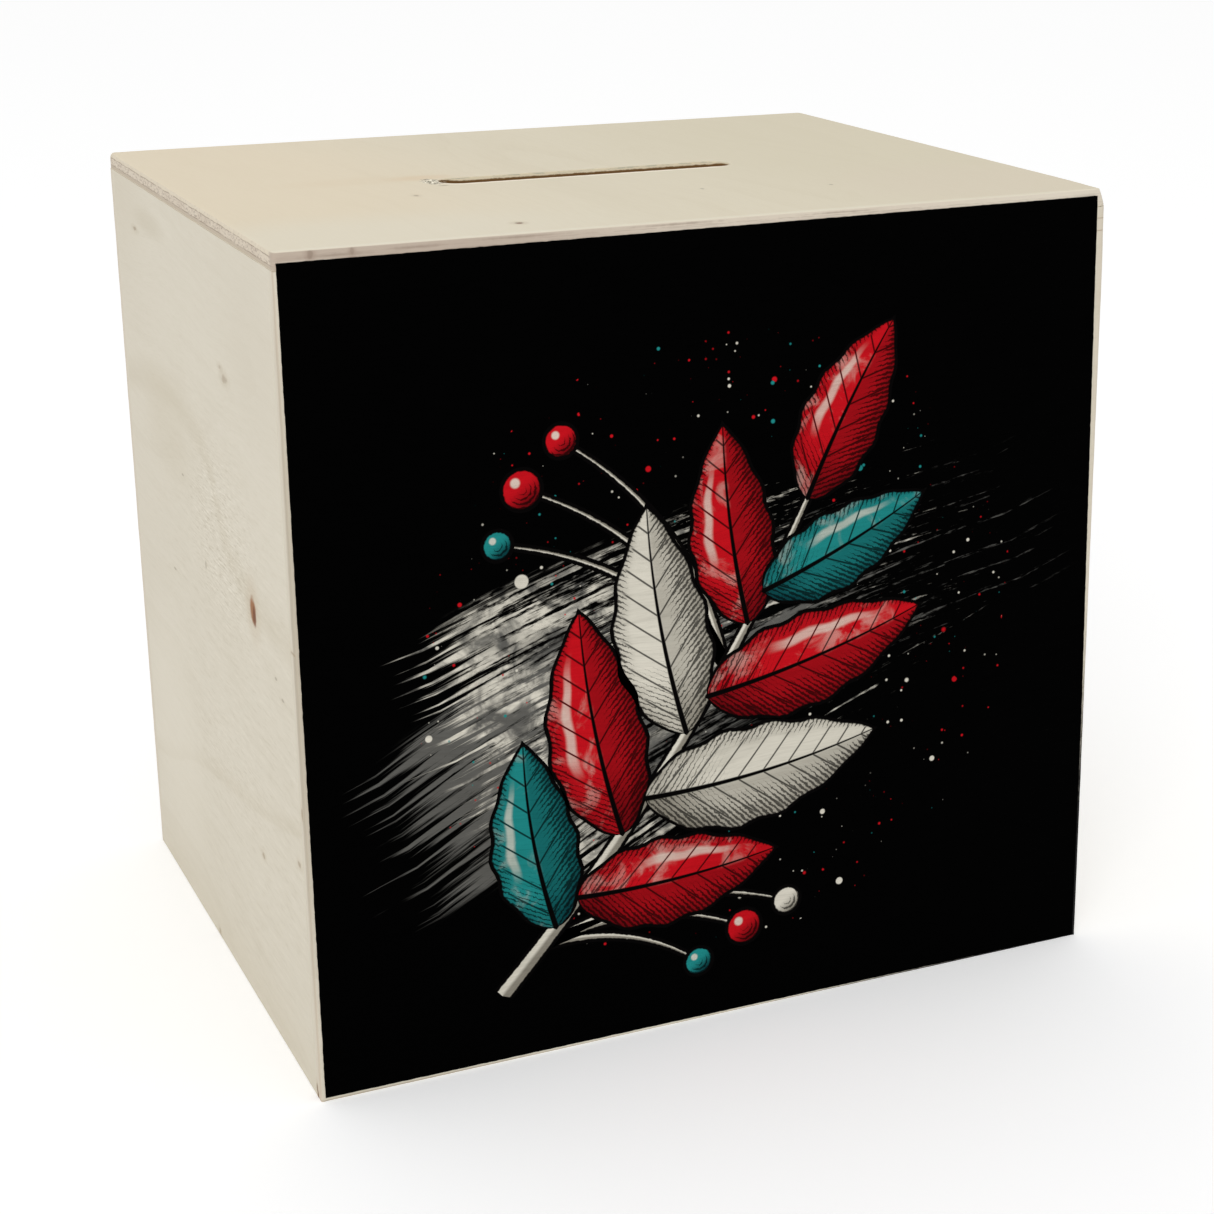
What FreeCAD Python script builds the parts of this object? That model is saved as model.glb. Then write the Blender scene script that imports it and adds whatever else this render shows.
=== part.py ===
import FreeCAD, Part
import math
import os
import Sketcher

# Wooden money box of thin plywood, in millimetres. The origin is the middle of the footprint on the
# table, +Z is up and the printed front looks along -Y.

doc = FreeCAD.newDocument("money_box")

# Driving sizes
sizes = {
    "boxWidth": 150.0,  # along the front
    "boxDepth": 122.0,  # front face to back face
    "boxHeight": 145.0,  # table to the top face
    "plyThick": 3.0,
    "edgeRound": 0.5,  # sanded outer edges
    "topCornerRound": 1.0,  # upright corners of the top
    "slotLength": 58.0,  # overall, round ends included
    "slotWidth": 7.2,
    "slotFromFront": 58.2,  # front face to the middle of the slot
    "slotEdgeBreak": 0.25,
    "baseLift": 6.0,  # table to the underside of the base
    "railWidth": 8.0,
    "battenSide": 8.0,
    "battenBevel": 2.0,  # on the edge that faces the coins
    "holeDiameter": 38.0,  # emptying hole in the base
    "flangeDiameter": 46.0,
    "flangeThick": 1.6,
    "flangeRound": 0.6,
    "plugClearance": 0.5,  # neck to hole, each side
    "beadClearance": 0.1,  # retaining bead to hole, each side
    "beadGap": 0.3,  # base top to the bead
    "beadThick": 2.6,
    "plugWall": 1.8,
    "ribLength": 20.0,  # pinch rib under the stopper
    "ribThick": 2.6,
    "ribDrop": 3.0,
    "ribRound": 1.0,  # upright corners of the rib
    "inkThick": 0.1,
    "inkFromSides": 0.5,
    "inkFromTop": 0.9,
    "inkFromBottom": 0.2,
}

sheet = doc.addObject("Spreadsheet::Sheet", "Sizes")
for row, (alias, value) in enumerate(sizes.items(), start=1):
    sheet.set(f"A{row}", alias)
    sheet.set(f"B{row}", str(value))
    sheet.setAlias(f"B{row}", alias)

# Sizes that follow from the driving ones, as expressions
wallHeight = "(Sizes.boxHeight - Sizes.plyThick)"
innerWidth = "(Sizes.boxWidth - 2 * Sizes.plyThick)"
innerDepth = "(Sizes.boxDepth - 2 * Sizes.plyThick)"
baseTop = "(Sizes.baseLift + Sizes.plyThick)"
holeRadius = "(Sizes.holeDiameter / 2)"
neckRadius = f"({holeRadius} - Sizes.plugClearance)"
beadRadius = f"({holeRadius} - Sizes.beadClearance)"
boreRadius = f"({neckRadius} - Sizes.plugWall)"
beadFoot = "(Sizes.plyThick + Sizes.beadGap)"

subParts = []


def newBody(name):
    body = doc.addObject("PartDesign::Body", name)
    body.Label = name
    subParts.append(body)
    return body


def place(body, x="0", y="0", z="0"):
    for axis, expression in zip("xyz", (x, y, z)):
        body.setExpression(f"Placement.Base.{axis}", expression)


def sketchOn(body, role, name):
    plane = next(item for item in body.Origin.OriginFeatures if item.Role == role)
    sketch = body.newObject("Sketcher::SketchObject", name)
    sketch.AttachmentSupport = (plane, [""])
    sketch.MapMode = "FlatFace"
    return sketch


def bindLength(sketch, kind, refs, name, expression):
    # One driving dimension, tied to the sheet
    index = sketch.addConstraint(Sketcher.Constraint(kind, *refs, 1.0))
    sketch.renameConstraint(index, name)
    sketch.setExpression(f"Constraints.{name}", expression)


def outline(sketch, points):
    # Closed run of straight lines through the points
    corners = [FreeCAD.Vector(x, y, 0) for x, y in points]
    count = len(corners)
    for here in range(count):
        sketch.addGeometry(Part.LineSegment(corners[here], corners[(here + 1) % count]))
    for here in range(count):
        sketch.addConstraint(Sketcher.Constraint("Coincident", here, 2, (here + 1) % count, 1))


def rectangle(sketch, width, height):
    # Centred on the sketch's origin
    outline(sketch, [(-1, -1), (1, -1), (1, 1), (-1, 1)])
    for line, direction in enumerate(("Horizontal", "Vertical", "Horizontal", "Vertical")):
        sketch.addConstraint(Sketcher.Constraint(direction, line))
    sketch.addConstraint(Sketcher.Constraint("Symmetric", 0, 1, 2, 1, -1, 1))
    bindLength(sketch, "DistanceX", (0, 1, 0, 2), "width", width)
    bindLength(sketch, "DistanceY", (1, 1, 1, 2), "height", height)


def slab(name, role, width, height, thick):
    # Flat board centred on its body's origin
    body = newBody(name)
    sketch = sketchOn(body, role, f"{name}_outline")
    rectangle(sketch, width, height)
    board = body.newObject("PartDesign::Pad", f"{name}_board")
    board.Profile = sketch
    board.SideType = "Symmetric"
    board.setExpression("Length", thick)
    doc.recompute()
    return body


def edgesWhere(feature, test):
    return [f"Edge{index}" for index, edge in enumerate(feature.Shape.Edges, start=1) if test(edge)]


def roundEdges(body, feature, name, test, radius):
    fillet = body.newObject("PartDesign::Fillet", name)
    fillet.Base = (feature, edgesWhere(feature, test))
    fillet.setExpression("Radius", radius)
    doc.recompute()
    return fillet


def bevelEdges(body, feature, name, test, size):
    bevel = body.newObject("PartDesign::Chamfer", name)
    bevel.Base = (feature, edgesWhere(feature, test))
    bevel.setExpression("Size", size)
    doc.recompute()
    return bevel


def cutThrough(body, sketch, name):
    # Cuts both ways from the sketch, so that it always meets the board
    before = body.Shape.Volume
    cut = body.newObject("PartDesign::Pocket", name)
    cut.Profile = sketch
    cut.Type = "ThroughAll"
    cut.SideType = "Symmetric"
    doc.recompute()
    if body.Shape.Volume >= before:
        raise RuntimeError(f"{name} removed nothing")
    return cut


def runsAlong(edge, axis):
    ends = edge.Vertexes
    if len(ends) < 2:
        return False
    run = ends[1].Point - ends[0].Point
    others = [abs(getattr(run, letter)) for letter in "xyz" if letter != axis]
    return edge.Curve.TypeId == "Part::GeomLine" and max(others) < 1e-6


def liesOutermost(feature, edge, axis, side):
    # True for an edge wholly on the feature's lowest or highest face along an axis
    box = feature.Shape.BoundBox
    spot = edge.BoundBox
    if side < 0:
        limit = getattr(box, f"{axis.upper()}Min")
    else:
        limit = getattr(box, f"{axis.upper()}Max")
    reach = (getattr(spot, f"{axis.upper()}Min"), getattr(spot, f"{axis.upper()}Max"))
    return all(abs(value - limit) < 1e-6 for value in reach)


# Top: a sheet over all four walls, with a router-cut slot that has full round ends
def makeTop():
    body = slab("top_panel", "XY_Plane", "Sizes.boxWidth", "Sizes.boxDepth", "Sizes.plyThick")
    place(body, z="Sizes.boxHeight - Sizes.plyThick / 2")

    corners = roundEdges(
        body, body.Tip, "top_corners", lambda edge: runsAlong(edge, "z"), "Sizes.topCornerRound"
    )
    roundEdges(
        body, corners, "top_rim", lambda edge: liesOutermost(corners, edge, "z", 1), "Sizes.edgeRound"
    )

    sketch = sketchOn(body, "XY_Plane", "slot_outline")
    left = FreeCAD.Vector(-10, 0, 0)
    right = FreeCAD.Vector(10, 0, 0)
    up = FreeCAD.Vector(0, 4, 0)
    axis = FreeCAD.Vector(0, 0, 1)
    quarter = math.pi / 2
    sketch.addGeometry(Part.LineSegment(left + up, right + up))
    sketch.addGeometry(Part.ArcOfCircle(Part.Circle(right, axis, 4), -quarter, quarter))
    sketch.addGeometry(Part.LineSegment(right - up, left - up))
    sketch.addGeometry(Part.ArcOfCircle(Part.Circle(left, axis, 4), quarter, 3 * quarter))
    for first, firstEnd, second, secondEnd in ((0, 2, 1, 2), (1, 1, 2, 1), (2, 2, 3, 2), (3, 1, 0, 1)):
        sketch.addConstraint(Sketcher.Constraint("Tangent", first, firstEnd, second, secondEnd))
    sketch.addConstraint(Sketcher.Constraint("Horizontal", 0))
    sketch.addConstraint(Sketcher.Constraint("Equal", 1, 3))
    bindLength(sketch, "Radius", (1,), "endRadius", "Sizes.slotWidth / 2")
    bindLength(sketch, "DistanceX", (3, 3, 1, 3), "straight", "Sizes.slotLength - Sizes.slotWidth")
    bindLength(sketch, "DistanceX", (-1, 1, 1, 3), "half", "(Sizes.slotLength - Sizes.slotWidth) / 2")
    bindLength(sketch, "DistanceY", (-1, 1, 1, 3), "offset", "Sizes.slotFromFront - Sizes.boxDepth / 2")
    slot = cutThrough(body, sketch, "coin_slot")

    def slotLip(edge):
        # Mouth edges of the slot, above and below, away from the sheet's outline
        flat = liesOutermost(slot, edge, "z", 1) or liesOutermost(slot, edge, "z", -1)
        mouth = sketch.Shape.BoundBox
        spot = edge.CenterOfMass
        return flat and mouth.XMin <= spot.x <= mouth.XMax and mouth.YMin <= spot.y <= mouth.YMax

    bevelEdges(body, slot, "slot_lips", slotLip, "Sizes.slotEdgeBreak")


# Front and back: full width, over the ends of the side walls
def makeFrontAndBack():
    for name, side in (("front_panel", -1), ("back_panel", 1)):
        body = slab(name, "XZ_Plane", "Sizes.boxWidth", wallHeight, "Sizes.plyThick")
        board = body.Tip
        place(body, y=f"{side} * (Sizes.boxDepth - Sizes.plyThick) / 2", z=f"{wallHeight} / 2")

        def outerUpright(edge):
            return runsAlong(edge, "z") and liesOutermost(board, edge, "y", side)

        roundEdges(body, board, f"{name}_edges", outerUpright, "Sizes.edgeRound")


# Sides: between front and back
def makeSides():
    for name, side in (("left_side_panel", -1), ("right_side_panel", 1)):
        body = slab(name, "YZ_Plane", innerDepth, wallHeight, "Sizes.plyThick")
        place(body, x=f"{side} * (Sizes.boxWidth - Sizes.plyThick) / 2", z=f"{wallHeight} / 2")


# Base: inset between the walls, with the emptying hole
def makeBase():
    body = slab("base_panel", "XY_Plane", innerWidth, innerDepth, "Sizes.plyThick")
    place(body, z="Sizes.baseLift + Sizes.plyThick / 2")
    sketch = sketchOn(body, "XY_Plane", "hole_outline")
    sketch.addGeometry(Part.Circle(FreeCAD.Vector(0, 0, 0), FreeCAD.Vector(0, 0, 1), 10))
    sketch.addConstraint(Sketcher.Constraint("Coincident", 0, 3, -1, 1))
    bindLength(sketch, "Diameter", (0,), "bore", "Sizes.holeDiameter")
    cutThrough(body, sketch, "emptying_hole")


# Rails: strips under the base, all round the inside of the walls
def makeRails():
    for name, side in (("base_rail_front", -1), ("base_rail_back", 1)):
        body = slab(name, "XY_Plane", innerWidth, "Sizes.railWidth", "Sizes.baseLift")
        place(body, y=f"{side} * ({innerDepth} - Sizes.railWidth) / 2", z="Sizes.baseLift / 2")
    for name, side in (("base_rail_left", -1), ("base_rail_right", 1)):
        reach = f"({innerDepth} - 2 * Sizes.railWidth)"
        body = slab(name, "XY_Plane", "Sizes.railWidth", reach, "Sizes.baseLift")
        place(body, x=f"{side} * ({innerWidth} - Sizes.railWidth) / 2", z="Sizes.baseLift / 2")


# Battens: upright strips in the corners, from the base to the top
def makeBattens():
    length = f"({wallHeight} - {baseTop})"
    for word, sideY in (("front", -1), ("back", 1)):
        for hand, sideX in (("left", -1), ("right", 1)):
            name = f"corner_batten_{word}_{hand}"
            body = slab(name, "XY_Plane", "Sizes.battenSide", "Sizes.battenSide", length)
            board = body.Tip
            place(
                body,
                x=f"{sideX} * ({innerWidth} - Sizes.battenSide) / 2",
                y=f"{sideY} * ({innerDepth} - Sizes.battenSide) / 2",
                z=f"{baseTop} + {length} / 2",
            )

            def innerUpright(edge):
                inX = liesOutermost(board, edge, "x", -sideX)
                inY = liesOutermost(board, edge, "y", -sideY)
                return runsAlong(edge, "z") and inX and inY

            bevelEdges(body, board, f"{name}_bevel", innerUpright, "Sizes.battenBevel")


# Stopper: a soft cup with a flange under the base, a neck through the hole, a bead above it and a rib
# to pinch
def makeStopper():
    body = newBody("base_stopper")
    place(body, z="Sizes.baseLift")

    # Half section, with the radius along the sketch's first axis and height along the second
    sketch = sketchOn(body, "XZ_Plane", "stopper_section")
    outline(
        sketch,
        [(0, -2), (23, -2), (23, 0), (18, 0), (18, 3), (19, 4), (19, 6), (16, 6), (16, 0), (0, 0)],
    )
    for line in (0, 2, 6, 8):
        sketch.addConstraint(Sketcher.Constraint("Horizontal", line))
    for line in (1, 3, 5, 7, 9):
        sketch.addConstraint(Sketcher.Constraint("Vertical", line))
    sketch.addConstraint(Sketcher.Constraint("PointOnObject", 9, 1, -2))
    sketch.addConstraint(Sketcher.Constraint("PointOnObject", 2, 2, -1))
    sketch.addConstraint(Sketcher.Constraint("PointOnObject", 8, 1, -1))
    bindLength(sketch, "DistanceX", (-1, 1, 1, 1), "flangeReach", "Sizes.flangeDiameter / 2")
    bindLength(sketch, "DistanceY", (1, 1, 1, 2), "flangeDepth", "Sizes.flangeThick")
    bindLength(sketch, "DistanceX", (-1, 1, 3, 1), "neck", neckRadius)
    bindLength(sketch, "DistanceY", (-1, 1, 4, 1), "beadStart", beadFoot)
    bindLength(sketch, "DistanceX", (-1, 1, 5, 1), "bead", beadRadius)
    bindLength(sketch, "DistanceY", (4, 1, 4, 2), "beadSlope", "Sizes.plugClearance - Sizes.beadClearance")
    bindLength(sketch, "DistanceY", (4, 1, 5, 2), "beadHeight", "Sizes.beadThick")
    bindLength(sketch, "DistanceX", (-1, 1, 7, 1), "bore", boreRadius)
    cup = body.newObject("PartDesign::Revolution", "stopper_cup")
    cup.Profile = sketch
    cup.ReferenceAxis = (sketch, ["V_Axis"])
    cup.Angle = 360
    doc.recompute()

    def flangeRim(edge):
        # Lower outer edge of the flange
        spot = edge.BoundBox
        wide = abs(spot.XMax - cup.Shape.BoundBox.XMax) < 1e-6
        return wide and liesOutermost(cup, edge, "z", -1)

    rim = roundEdges(body, cup, "flange_rim", flangeRim, "Sizes.flangeRound")

    rib = sketchOn(body, "XY_Plane", "rib_outline")
    rectangle(rib, "Sizes.ribLength", "Sizes.ribThick")
    pad = body.newObject("PartDesign::Pad", "pinch_rib")
    pad.Profile = rib
    pad.Reversed = True
    pad.setExpression("Length", "Sizes.flangeThick + Sizes.ribDrop")
    doc.recompute()
    if body.Shape.Volume <= rim.Shape.Volume:
        raise RuntimeError("the rib added nothing")

    def ribEnds(edge):
        low = edge.BoundBox.ZMax < cup.Shape.BoundBox.ZMin + 1e-6
        return runsAlong(edge, "z") and low

    roundEdges(body, pad, "rib_ends", ribEnds, "Sizes.ribRound")


# Print: a film of ink over the front wall and most of the top's front edge
def makePrint():
    width = "(Sizes.boxWidth - 2 * Sizes.inkFromSides)"
    height = "(Sizes.boxHeight - Sizes.inkFromTop - Sizes.inkFromBottom)"
    body = slab("front_print", "XZ_Plane", width, height, "Sizes.inkThick")
    place(
        body,
        y="-(Sizes.boxDepth + Sizes.inkThick) / 2",
        z=f"Sizes.inkFromBottom + {height} / 2",
    )


makeTop()
makeFrontAndBack()
makeSides()
makeBase()
makeRails()
makeBattens()
makeStopper()
makePrint()
doc.recompute()

for item in doc.Objects:
    if "Invalid" in item.State or "Error" in item.State:
        raise RuntimeError(f"{item.Name} failed: {item.State}")
for body in subParts:
    if body.Shape.isNull() or not body.Shape.isValid():
        raise RuntimeError(f"{body.Label} has no valid shape")

os.makedirs("parts", exist_ok=True)
for body in subParts:
    body.Shape.exportStep(f"parts/{body.Label}.step")
    box = body.Shape.BoundBox
    print(
        f"{body.Label}: {len(body.Shape.Solids)} solid, {body.Shape.Volume:.1f} mm3, "
        f"x {box.XMin:.2f} to {box.XMax:.2f}, y {box.YMin:.2f} to {box.YMax:.2f}, "
        f"z {box.ZMin:.2f} to {box.ZMax:.2f}"
    )
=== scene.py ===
import bpy
import bmesh
import math
import random
from mathutils import Matrix, Vector, noise


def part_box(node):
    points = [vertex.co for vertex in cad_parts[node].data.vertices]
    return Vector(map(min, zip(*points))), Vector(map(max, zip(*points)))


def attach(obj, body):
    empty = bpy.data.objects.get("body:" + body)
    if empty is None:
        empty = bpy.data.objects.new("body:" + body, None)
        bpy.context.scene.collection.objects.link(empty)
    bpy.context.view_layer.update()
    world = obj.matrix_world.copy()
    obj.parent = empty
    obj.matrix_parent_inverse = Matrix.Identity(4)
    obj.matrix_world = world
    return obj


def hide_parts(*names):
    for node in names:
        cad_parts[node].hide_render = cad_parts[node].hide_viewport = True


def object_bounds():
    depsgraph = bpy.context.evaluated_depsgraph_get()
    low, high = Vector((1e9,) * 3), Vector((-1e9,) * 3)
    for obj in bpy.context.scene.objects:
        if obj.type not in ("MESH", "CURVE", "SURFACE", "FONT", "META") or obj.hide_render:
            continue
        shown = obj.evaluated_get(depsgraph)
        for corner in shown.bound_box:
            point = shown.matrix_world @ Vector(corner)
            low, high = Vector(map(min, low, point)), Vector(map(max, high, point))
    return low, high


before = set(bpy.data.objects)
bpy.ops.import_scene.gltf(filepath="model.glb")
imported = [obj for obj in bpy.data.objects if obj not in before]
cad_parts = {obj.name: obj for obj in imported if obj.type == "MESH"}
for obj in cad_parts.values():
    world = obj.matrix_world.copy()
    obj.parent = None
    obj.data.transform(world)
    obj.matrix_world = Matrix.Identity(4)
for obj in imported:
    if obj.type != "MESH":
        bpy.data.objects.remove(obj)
cadBox = [list(corner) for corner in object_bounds()]
mm = 0.001
print("frame loaded, CAD box", cadBox)


# Small helpers for shader trees

def feed(tree, socket, value):
    if isinstance(value, bpy.types.NodeSocket):
        tree.links.new(value, socket)
    else:
        socket.default_value = value


def putNode(tree, kind, links=None, **settings):
    item = tree.nodes.new(kind)
    for name, value in settings.items():
        setattr(item, name, value)
    for name, value in (links or {}).items():
        feed(tree, item.inputs[name], value)
    return item


def calc(tree, operation, *values, clamp=False):
    links = dict(enumerate(values))
    return putNode(tree, "ShaderNodeMath", links, operation=operation, use_clamp=clamp).outputs[0]


def product(tree, result, *values):
    for value in values:
        result = calc(tree, "MULTIPLY", result, value)
    return result


def total(tree, result, *values):
    for value in values:
        result = calc(tree, "ADD", result, value)
    return result


def minus(tree, value, taken):
    return calc(tree, "SUBTRACT", value, taken)


def vecCalc(tree, operation, *values):
    item = putNode(tree, "ShaderNodeVectorMath", dict(enumerate(values)), operation=operation)
    return item.outputs["Value" if operation in ("LENGTH", "DISTANCE", "DOT_PRODUCT") else "Vector"]


def splitAxes(tree, vector):
    return putNode(tree, "ShaderNodeSeparateXYZ", {"Vector": vector}).outputs


def joinAxes(tree, x=0.0, y=0.0, z=0.0):
    return putNode(tree, "ShaderNodeCombineXYZ", {"X": x, "Y": y, "Z": z}).outputs[0]


def inMillimetres(tree, place):
    return vecCalc(tree, "MULTIPLY", place, (1000, 1000, 1000))


def softStep(tree, value, low, high):
    # 0 at low, 1 at high, eased between
    ends = {"Value": value, "From Min": low, "From Max": high}
    return putNode(tree, "ShaderNodeMapRange", ends, interpolation_type="SMOOTHSTEP").outputs["Result"]


def remap(tree, value, low, high, newLow, newHigh):
    ends = {"Value": value, "From Min": low, "From Max": high, "To Min": newLow, "To Max": newHigh}
    return putNode(tree, "ShaderNodeMapRange", ends).outputs["Result"]


def mixColor(tree, factor, first, second, mode="MIX"):
    item = putNode(tree, "ShaderNodeMix", data_type="RGBA", blend_type=mode)
    for index, value in ((0, factor), (6, first), (7, second)):  # the sockets that mix colours
        feed(tree, item.inputs[index], value)
    return item.outputs[2]


def layOver(tree, color, tone, mask, share):
    # A share of a tone, laid over a colour where a mask shows it
    return mixColor(tree, product(tree, mask, share), color, tone)


def noiseAt(tree, place, stretch, detail=2.0, roughness=0.5, distortion=0.0):
    # Noise whose scale is set by stretching the place, per axis
    links = {"Vector": vecCalc(tree, "MULTIPLY", place, stretch), "Scale": 1.0, "Detail": detail}
    links.update({"Roughness": roughness, "Distortion": distortion})
    return putNode(tree, "ShaderNodeTexNoise", links).outputs[0]


def startGroup(name, inputs, outputs):
    group = bpy.data.node_groups.new(name, "ShaderNodeTree")
    for label, kind, value in inputs:
        socket = group.interface.new_socket(label, in_out="INPUT", socket_type=f"NodeSocket{kind}")
        if value is not None:
            socket.default_value = value
    for label, kind in outputs:
        group.interface.new_socket(label, in_out="OUTPUT", socket_type=f"NodeSocket{kind}")
    entry = group.nodes.new("NodeGroupInput").outputs
    leave = group.nodes.new("NodeGroupOutput").inputs
    return group, entry, leave


def useGroup(tree, group, **links):
    return putNode(tree, "ShaderNodeGroup", links, node_tree=group).outputs


def startMaterial(name, specular):
    material = bpy.data.materials.new(name)
    material.use_nodes = True
    tree = material.node_tree
    shader = tree.nodes["Principled BSDF"]
    shader.inputs["Specular IOR Level"].default_value = specular
    return material, tree, shader


def objectPlace(tree):
    return putNode(tree, "ShaderNodeTexCoord").outputs["Object"]


def finishSurface(tree, shader, color, rough, height, strength, depth):
    # Colour, roughness and a fine relief
    bump = putNode(tree, "ShaderNodeBump", {"Strength": strength, "Distance": depth, "Height": height})
    for name, value in (("Base Color", color), ("Roughness", rough), ("Normal", bump.outputs[0])):
        feed(tree, shader.inputs[name], value)


def srgb(red, green, blue):
    # Written as screen values from 0 to 255, used as linear light
    def linear(value):
        share = value / 255
        return share / 12.92 if share <= 0.04045 else ((share + 0.055) / 1.055) ** 2.4

    return (linear(red), linear(green), linear(blue), 1.0)


# Shared effects

def makeVeneerFigure():
    # Peeled veneer: long streaks, wavy growth bands, short pores and fine fibres, with the grain along X
    group, entry, leave = startGroup(
        "veneerFigure",
        [
            ("Grain", "Vector", (0, 0, 0)),
            ("Seed", "Float", 0.0),
            ("Pale", "Color", (0.7, 0.65, 0.5, 1)),
            ("Dark", "Color", (0.5, 0.4, 0.3, 1)),
            ("Contrast", "Float", 1.0),
            ("Bands", "Float", 0.42),
        ],
        [("Color", "Color"), ("Height", "Float"), ("Rough", "Float")],
    )
    inMm = inMillimetres(group, entry["Grain"])
    shift = joinAxes(group, product(group, entry["Seed"], 211.0), product(group, entry["Seed"], 97.0))
    spot = vecCalc(group, "ADD", inMm, shift)

    # The grain wanders a little across its run
    sway = noiseAt(group, spot, (0.012, 0.02, 0.02), 2.0)
    wavy = vecCalc(group, "ADD", spot, joinAxes(group, y=remap(group, sway, 0, 1, -9, 9)))

    tone = noiseAt(group, wavy, (0.012, 0.045, 0.045), 3.0)
    streak = noiseAt(group, wavy, (0.035, 0.9, 0.9), 4.0, 0.6)
    fibre = noiseAt(group, wavy, (0.22, 3.6, 3.6), 3.0, 0.6)
    level = noiseAt(group, wavy, (0.0065, 0.028, 0.028), 1.5, 0.45)
    phase = calc(group, "FRACT", product(group, level, 9.0))
    late = product(group, softStep(group, phase, 0.35, 0.93), softStep(group, phase, 1.0, 0.955))
    patchy = softStep(group, noiseAt(group, spot, (0.02, 0.06, 0.06), 2.0), 0.36, 0.62)
    band = product(group, late, patchy)

    stretched = vecCalc(group, "MULTIPLY", wavy, (0.16, 1.1, 1.1))
    cells = putNode(group, "ShaderNodeTexVoronoi", {"Vector": stretched, "Scale": 1.0}).outputs
    rare = putNode(group, "ShaderNodeSeparateColor", {"Color": cells["Color"]}).outputs[0]
    pore = product(group, softStep(group, cells["Distance"], 0.2, 0.05), softStep(group, rare, 0.72, 0.9))

    # Sum of the dark parts, each with its own share
    depth = product(group, band, entry["Bands"])
    for mask, low, high, share in (
        (tone, 0.35, 0.7, 0.2), (streak, 0.4, 0.72, 0.24), (fibre, 0.4, 0.75, 0.26), (pore, 0.0, 1.0, 0.3)
    ):
        depth = total(group, depth, product(group, softStep(group, mask, low, high), share))
    depth = calc(group, "MULTIPLY", depth, entry["Contrast"], clamp=True)
    feed(group, leave["Color"], mixColor(group, depth, entry["Pale"], entry["Dark"]))

    height = total(group, product(group, fibre, 0.6), product(group, streak, 0.5))
    feed(group, leave["Height"], minus(group, height, product(group, pore, 0.5)))
    feed(group, leave["Rough"], remap(group, fibre, 0.3, 0.7, 0.66, 0.8))
    return group


def makePlyLayers():
    # Sawn edge of a three-layer sheet: where the core lies, the glue lines, end-grain flecks and saw checks
    group, entry, leave = startGroup(
        "plyLayers",
        [
            ("Depth", "Float", 0.5),
            ("Place", "Vector", (0, 0, 0)),
            ("Veneer", "Float", 0.27),
            ("Glue", "Float", 0.05),
        ],
        [("Edge", "Float"), ("Core", "Float"), ("Line", "Float"), ("Fleck", "Float"), ("Check", "Float")],
    )
    inMm = inMillimetres(group, entry["Place"])
    wobble = remap(group, noiseAt(group, inMm, (0.35, 0.35, 0.35), 3.0), 0, 1, -0.07, 0.07)
    depth = total(group, entry["Depth"], wobble)
    offMiddle = calc(group, "ABSOLUTE", minus(group, depth, 0.5))
    flat = calc(group, "ABSOLUTE", minus(group, entry["Depth"], 0.5))
    feed(group, leave["Edge"], softStep(group, flat, 0.497, 0.43))
    halfCore = minus(group, 0.5, entry["Veneer"])
    core = softStep(group, minus(group, offMiddle, halfCore), 0.02, -0.02)
    feed(group, leave["Core"], core)
    offLine = calc(group, "ABSOLUTE", minus(group, offMiddle, halfCore))
    line = softStep(group, offLine, entry["Glue"], 0.0)
    broken = softStep(group, noiseAt(group, inMm, (0.5, 0.5, 0.5), 2.0), 0.28, 0.6)
    feed(group, leave["Line"], product(group, line, broken))
    fleck = noiseAt(group, inMm, (1.1, 0.09, 3.0), 3.0, 0.7)
    feed(group, leave["Fleck"], softStep(group, fleck, 0.48, 0.66))
    check = noiseAt(group, inMm, (0.9, 0.9, 0.9), 4.0, 0.75)
    feed(group, leave["Check"], softStep(group, check, 0.55, 0.7))
    return group


def makePinKnot():
    # Small knot or mark: a dark heart with a ragged rim, and a soft halo
    group, entry, leave = startGroup(
        "pinKnot",
        [
            ("Place", "Vector", (0, 0, 0)),
            ("Centre", "Vector", (0, 0, 0)),
            ("Size", "Vector", (1, 1, 1)),
            ("Ragged", "Float", 0.5),
        ],
        [("Heart", "Float"), ("Halo", "Float")],
    )
    inMm = inMillimetres(group, entry["Place"])
    rel = vecCalc(group, "SUBTRACT", entry["Place"], entry["Centre"])
    away = vecCalc(group, "LENGTH", vecCalc(group, "DIVIDE", rel, entry["Size"]))
    rough = remap(group, noiseAt(group, inMm, (0.8, 0.8, 0.8), 4.0, 0.65), 0.25, 0.75, -1, 1)
    away = total(group, away, product(group, rough, entry["Ragged"]))
    feed(group, leave["Heart"], softStep(group, away, 1.1, 0.5))
    feed(group, leave["Halo"], softStep(group, away, 2.9, 0.7))
    return group


veneerFigure = makeVeneerFigure()
plyLayers = makePlyLayers()
pinKnot = makePinKnot()
print("shared effects made")


# Boards: closed meshes with sanded, slightly uneven edges, built round an outline

boardEdges = {
    "step": 1.2 * mm,  # spacing of points along an edge
    "arcParts": 5,
    "roundParts": 4,
    "hold": 0.12 * mm,  # flat ring that keeps the faces' shading even
    "sharpAngle": math.radians(32),
}


def spread(points, step):
    # More points along the long runs
    dense = []
    for here, there in zip(points, points[1:] + points[:1]):
        parts = max(1, round((there - here).length / step))
        dense += [here.lerp(there, part / parts) for part in range(parts)]
    return dense


def roundedRectangle(halfU, halfV, corner):
    # Counter-clockwise, with round corners
    points = []
    parts = boardEdges["arcParts"]
    for quarter, (signU, signV) in enumerate(((1, 1), (-1, 1), (-1, -1), (1, -1))):
        middle = Vector((signU * (halfU - corner), signV * (halfV - corner)))
        for part in range(parts + 1):
            angle = math.pi / 2 * (quarter + part / parts)
            points.append(middle + corner * Vector((math.cos(angle), math.sin(angle))))
    return spread(points, boardEdges["step"])


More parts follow.
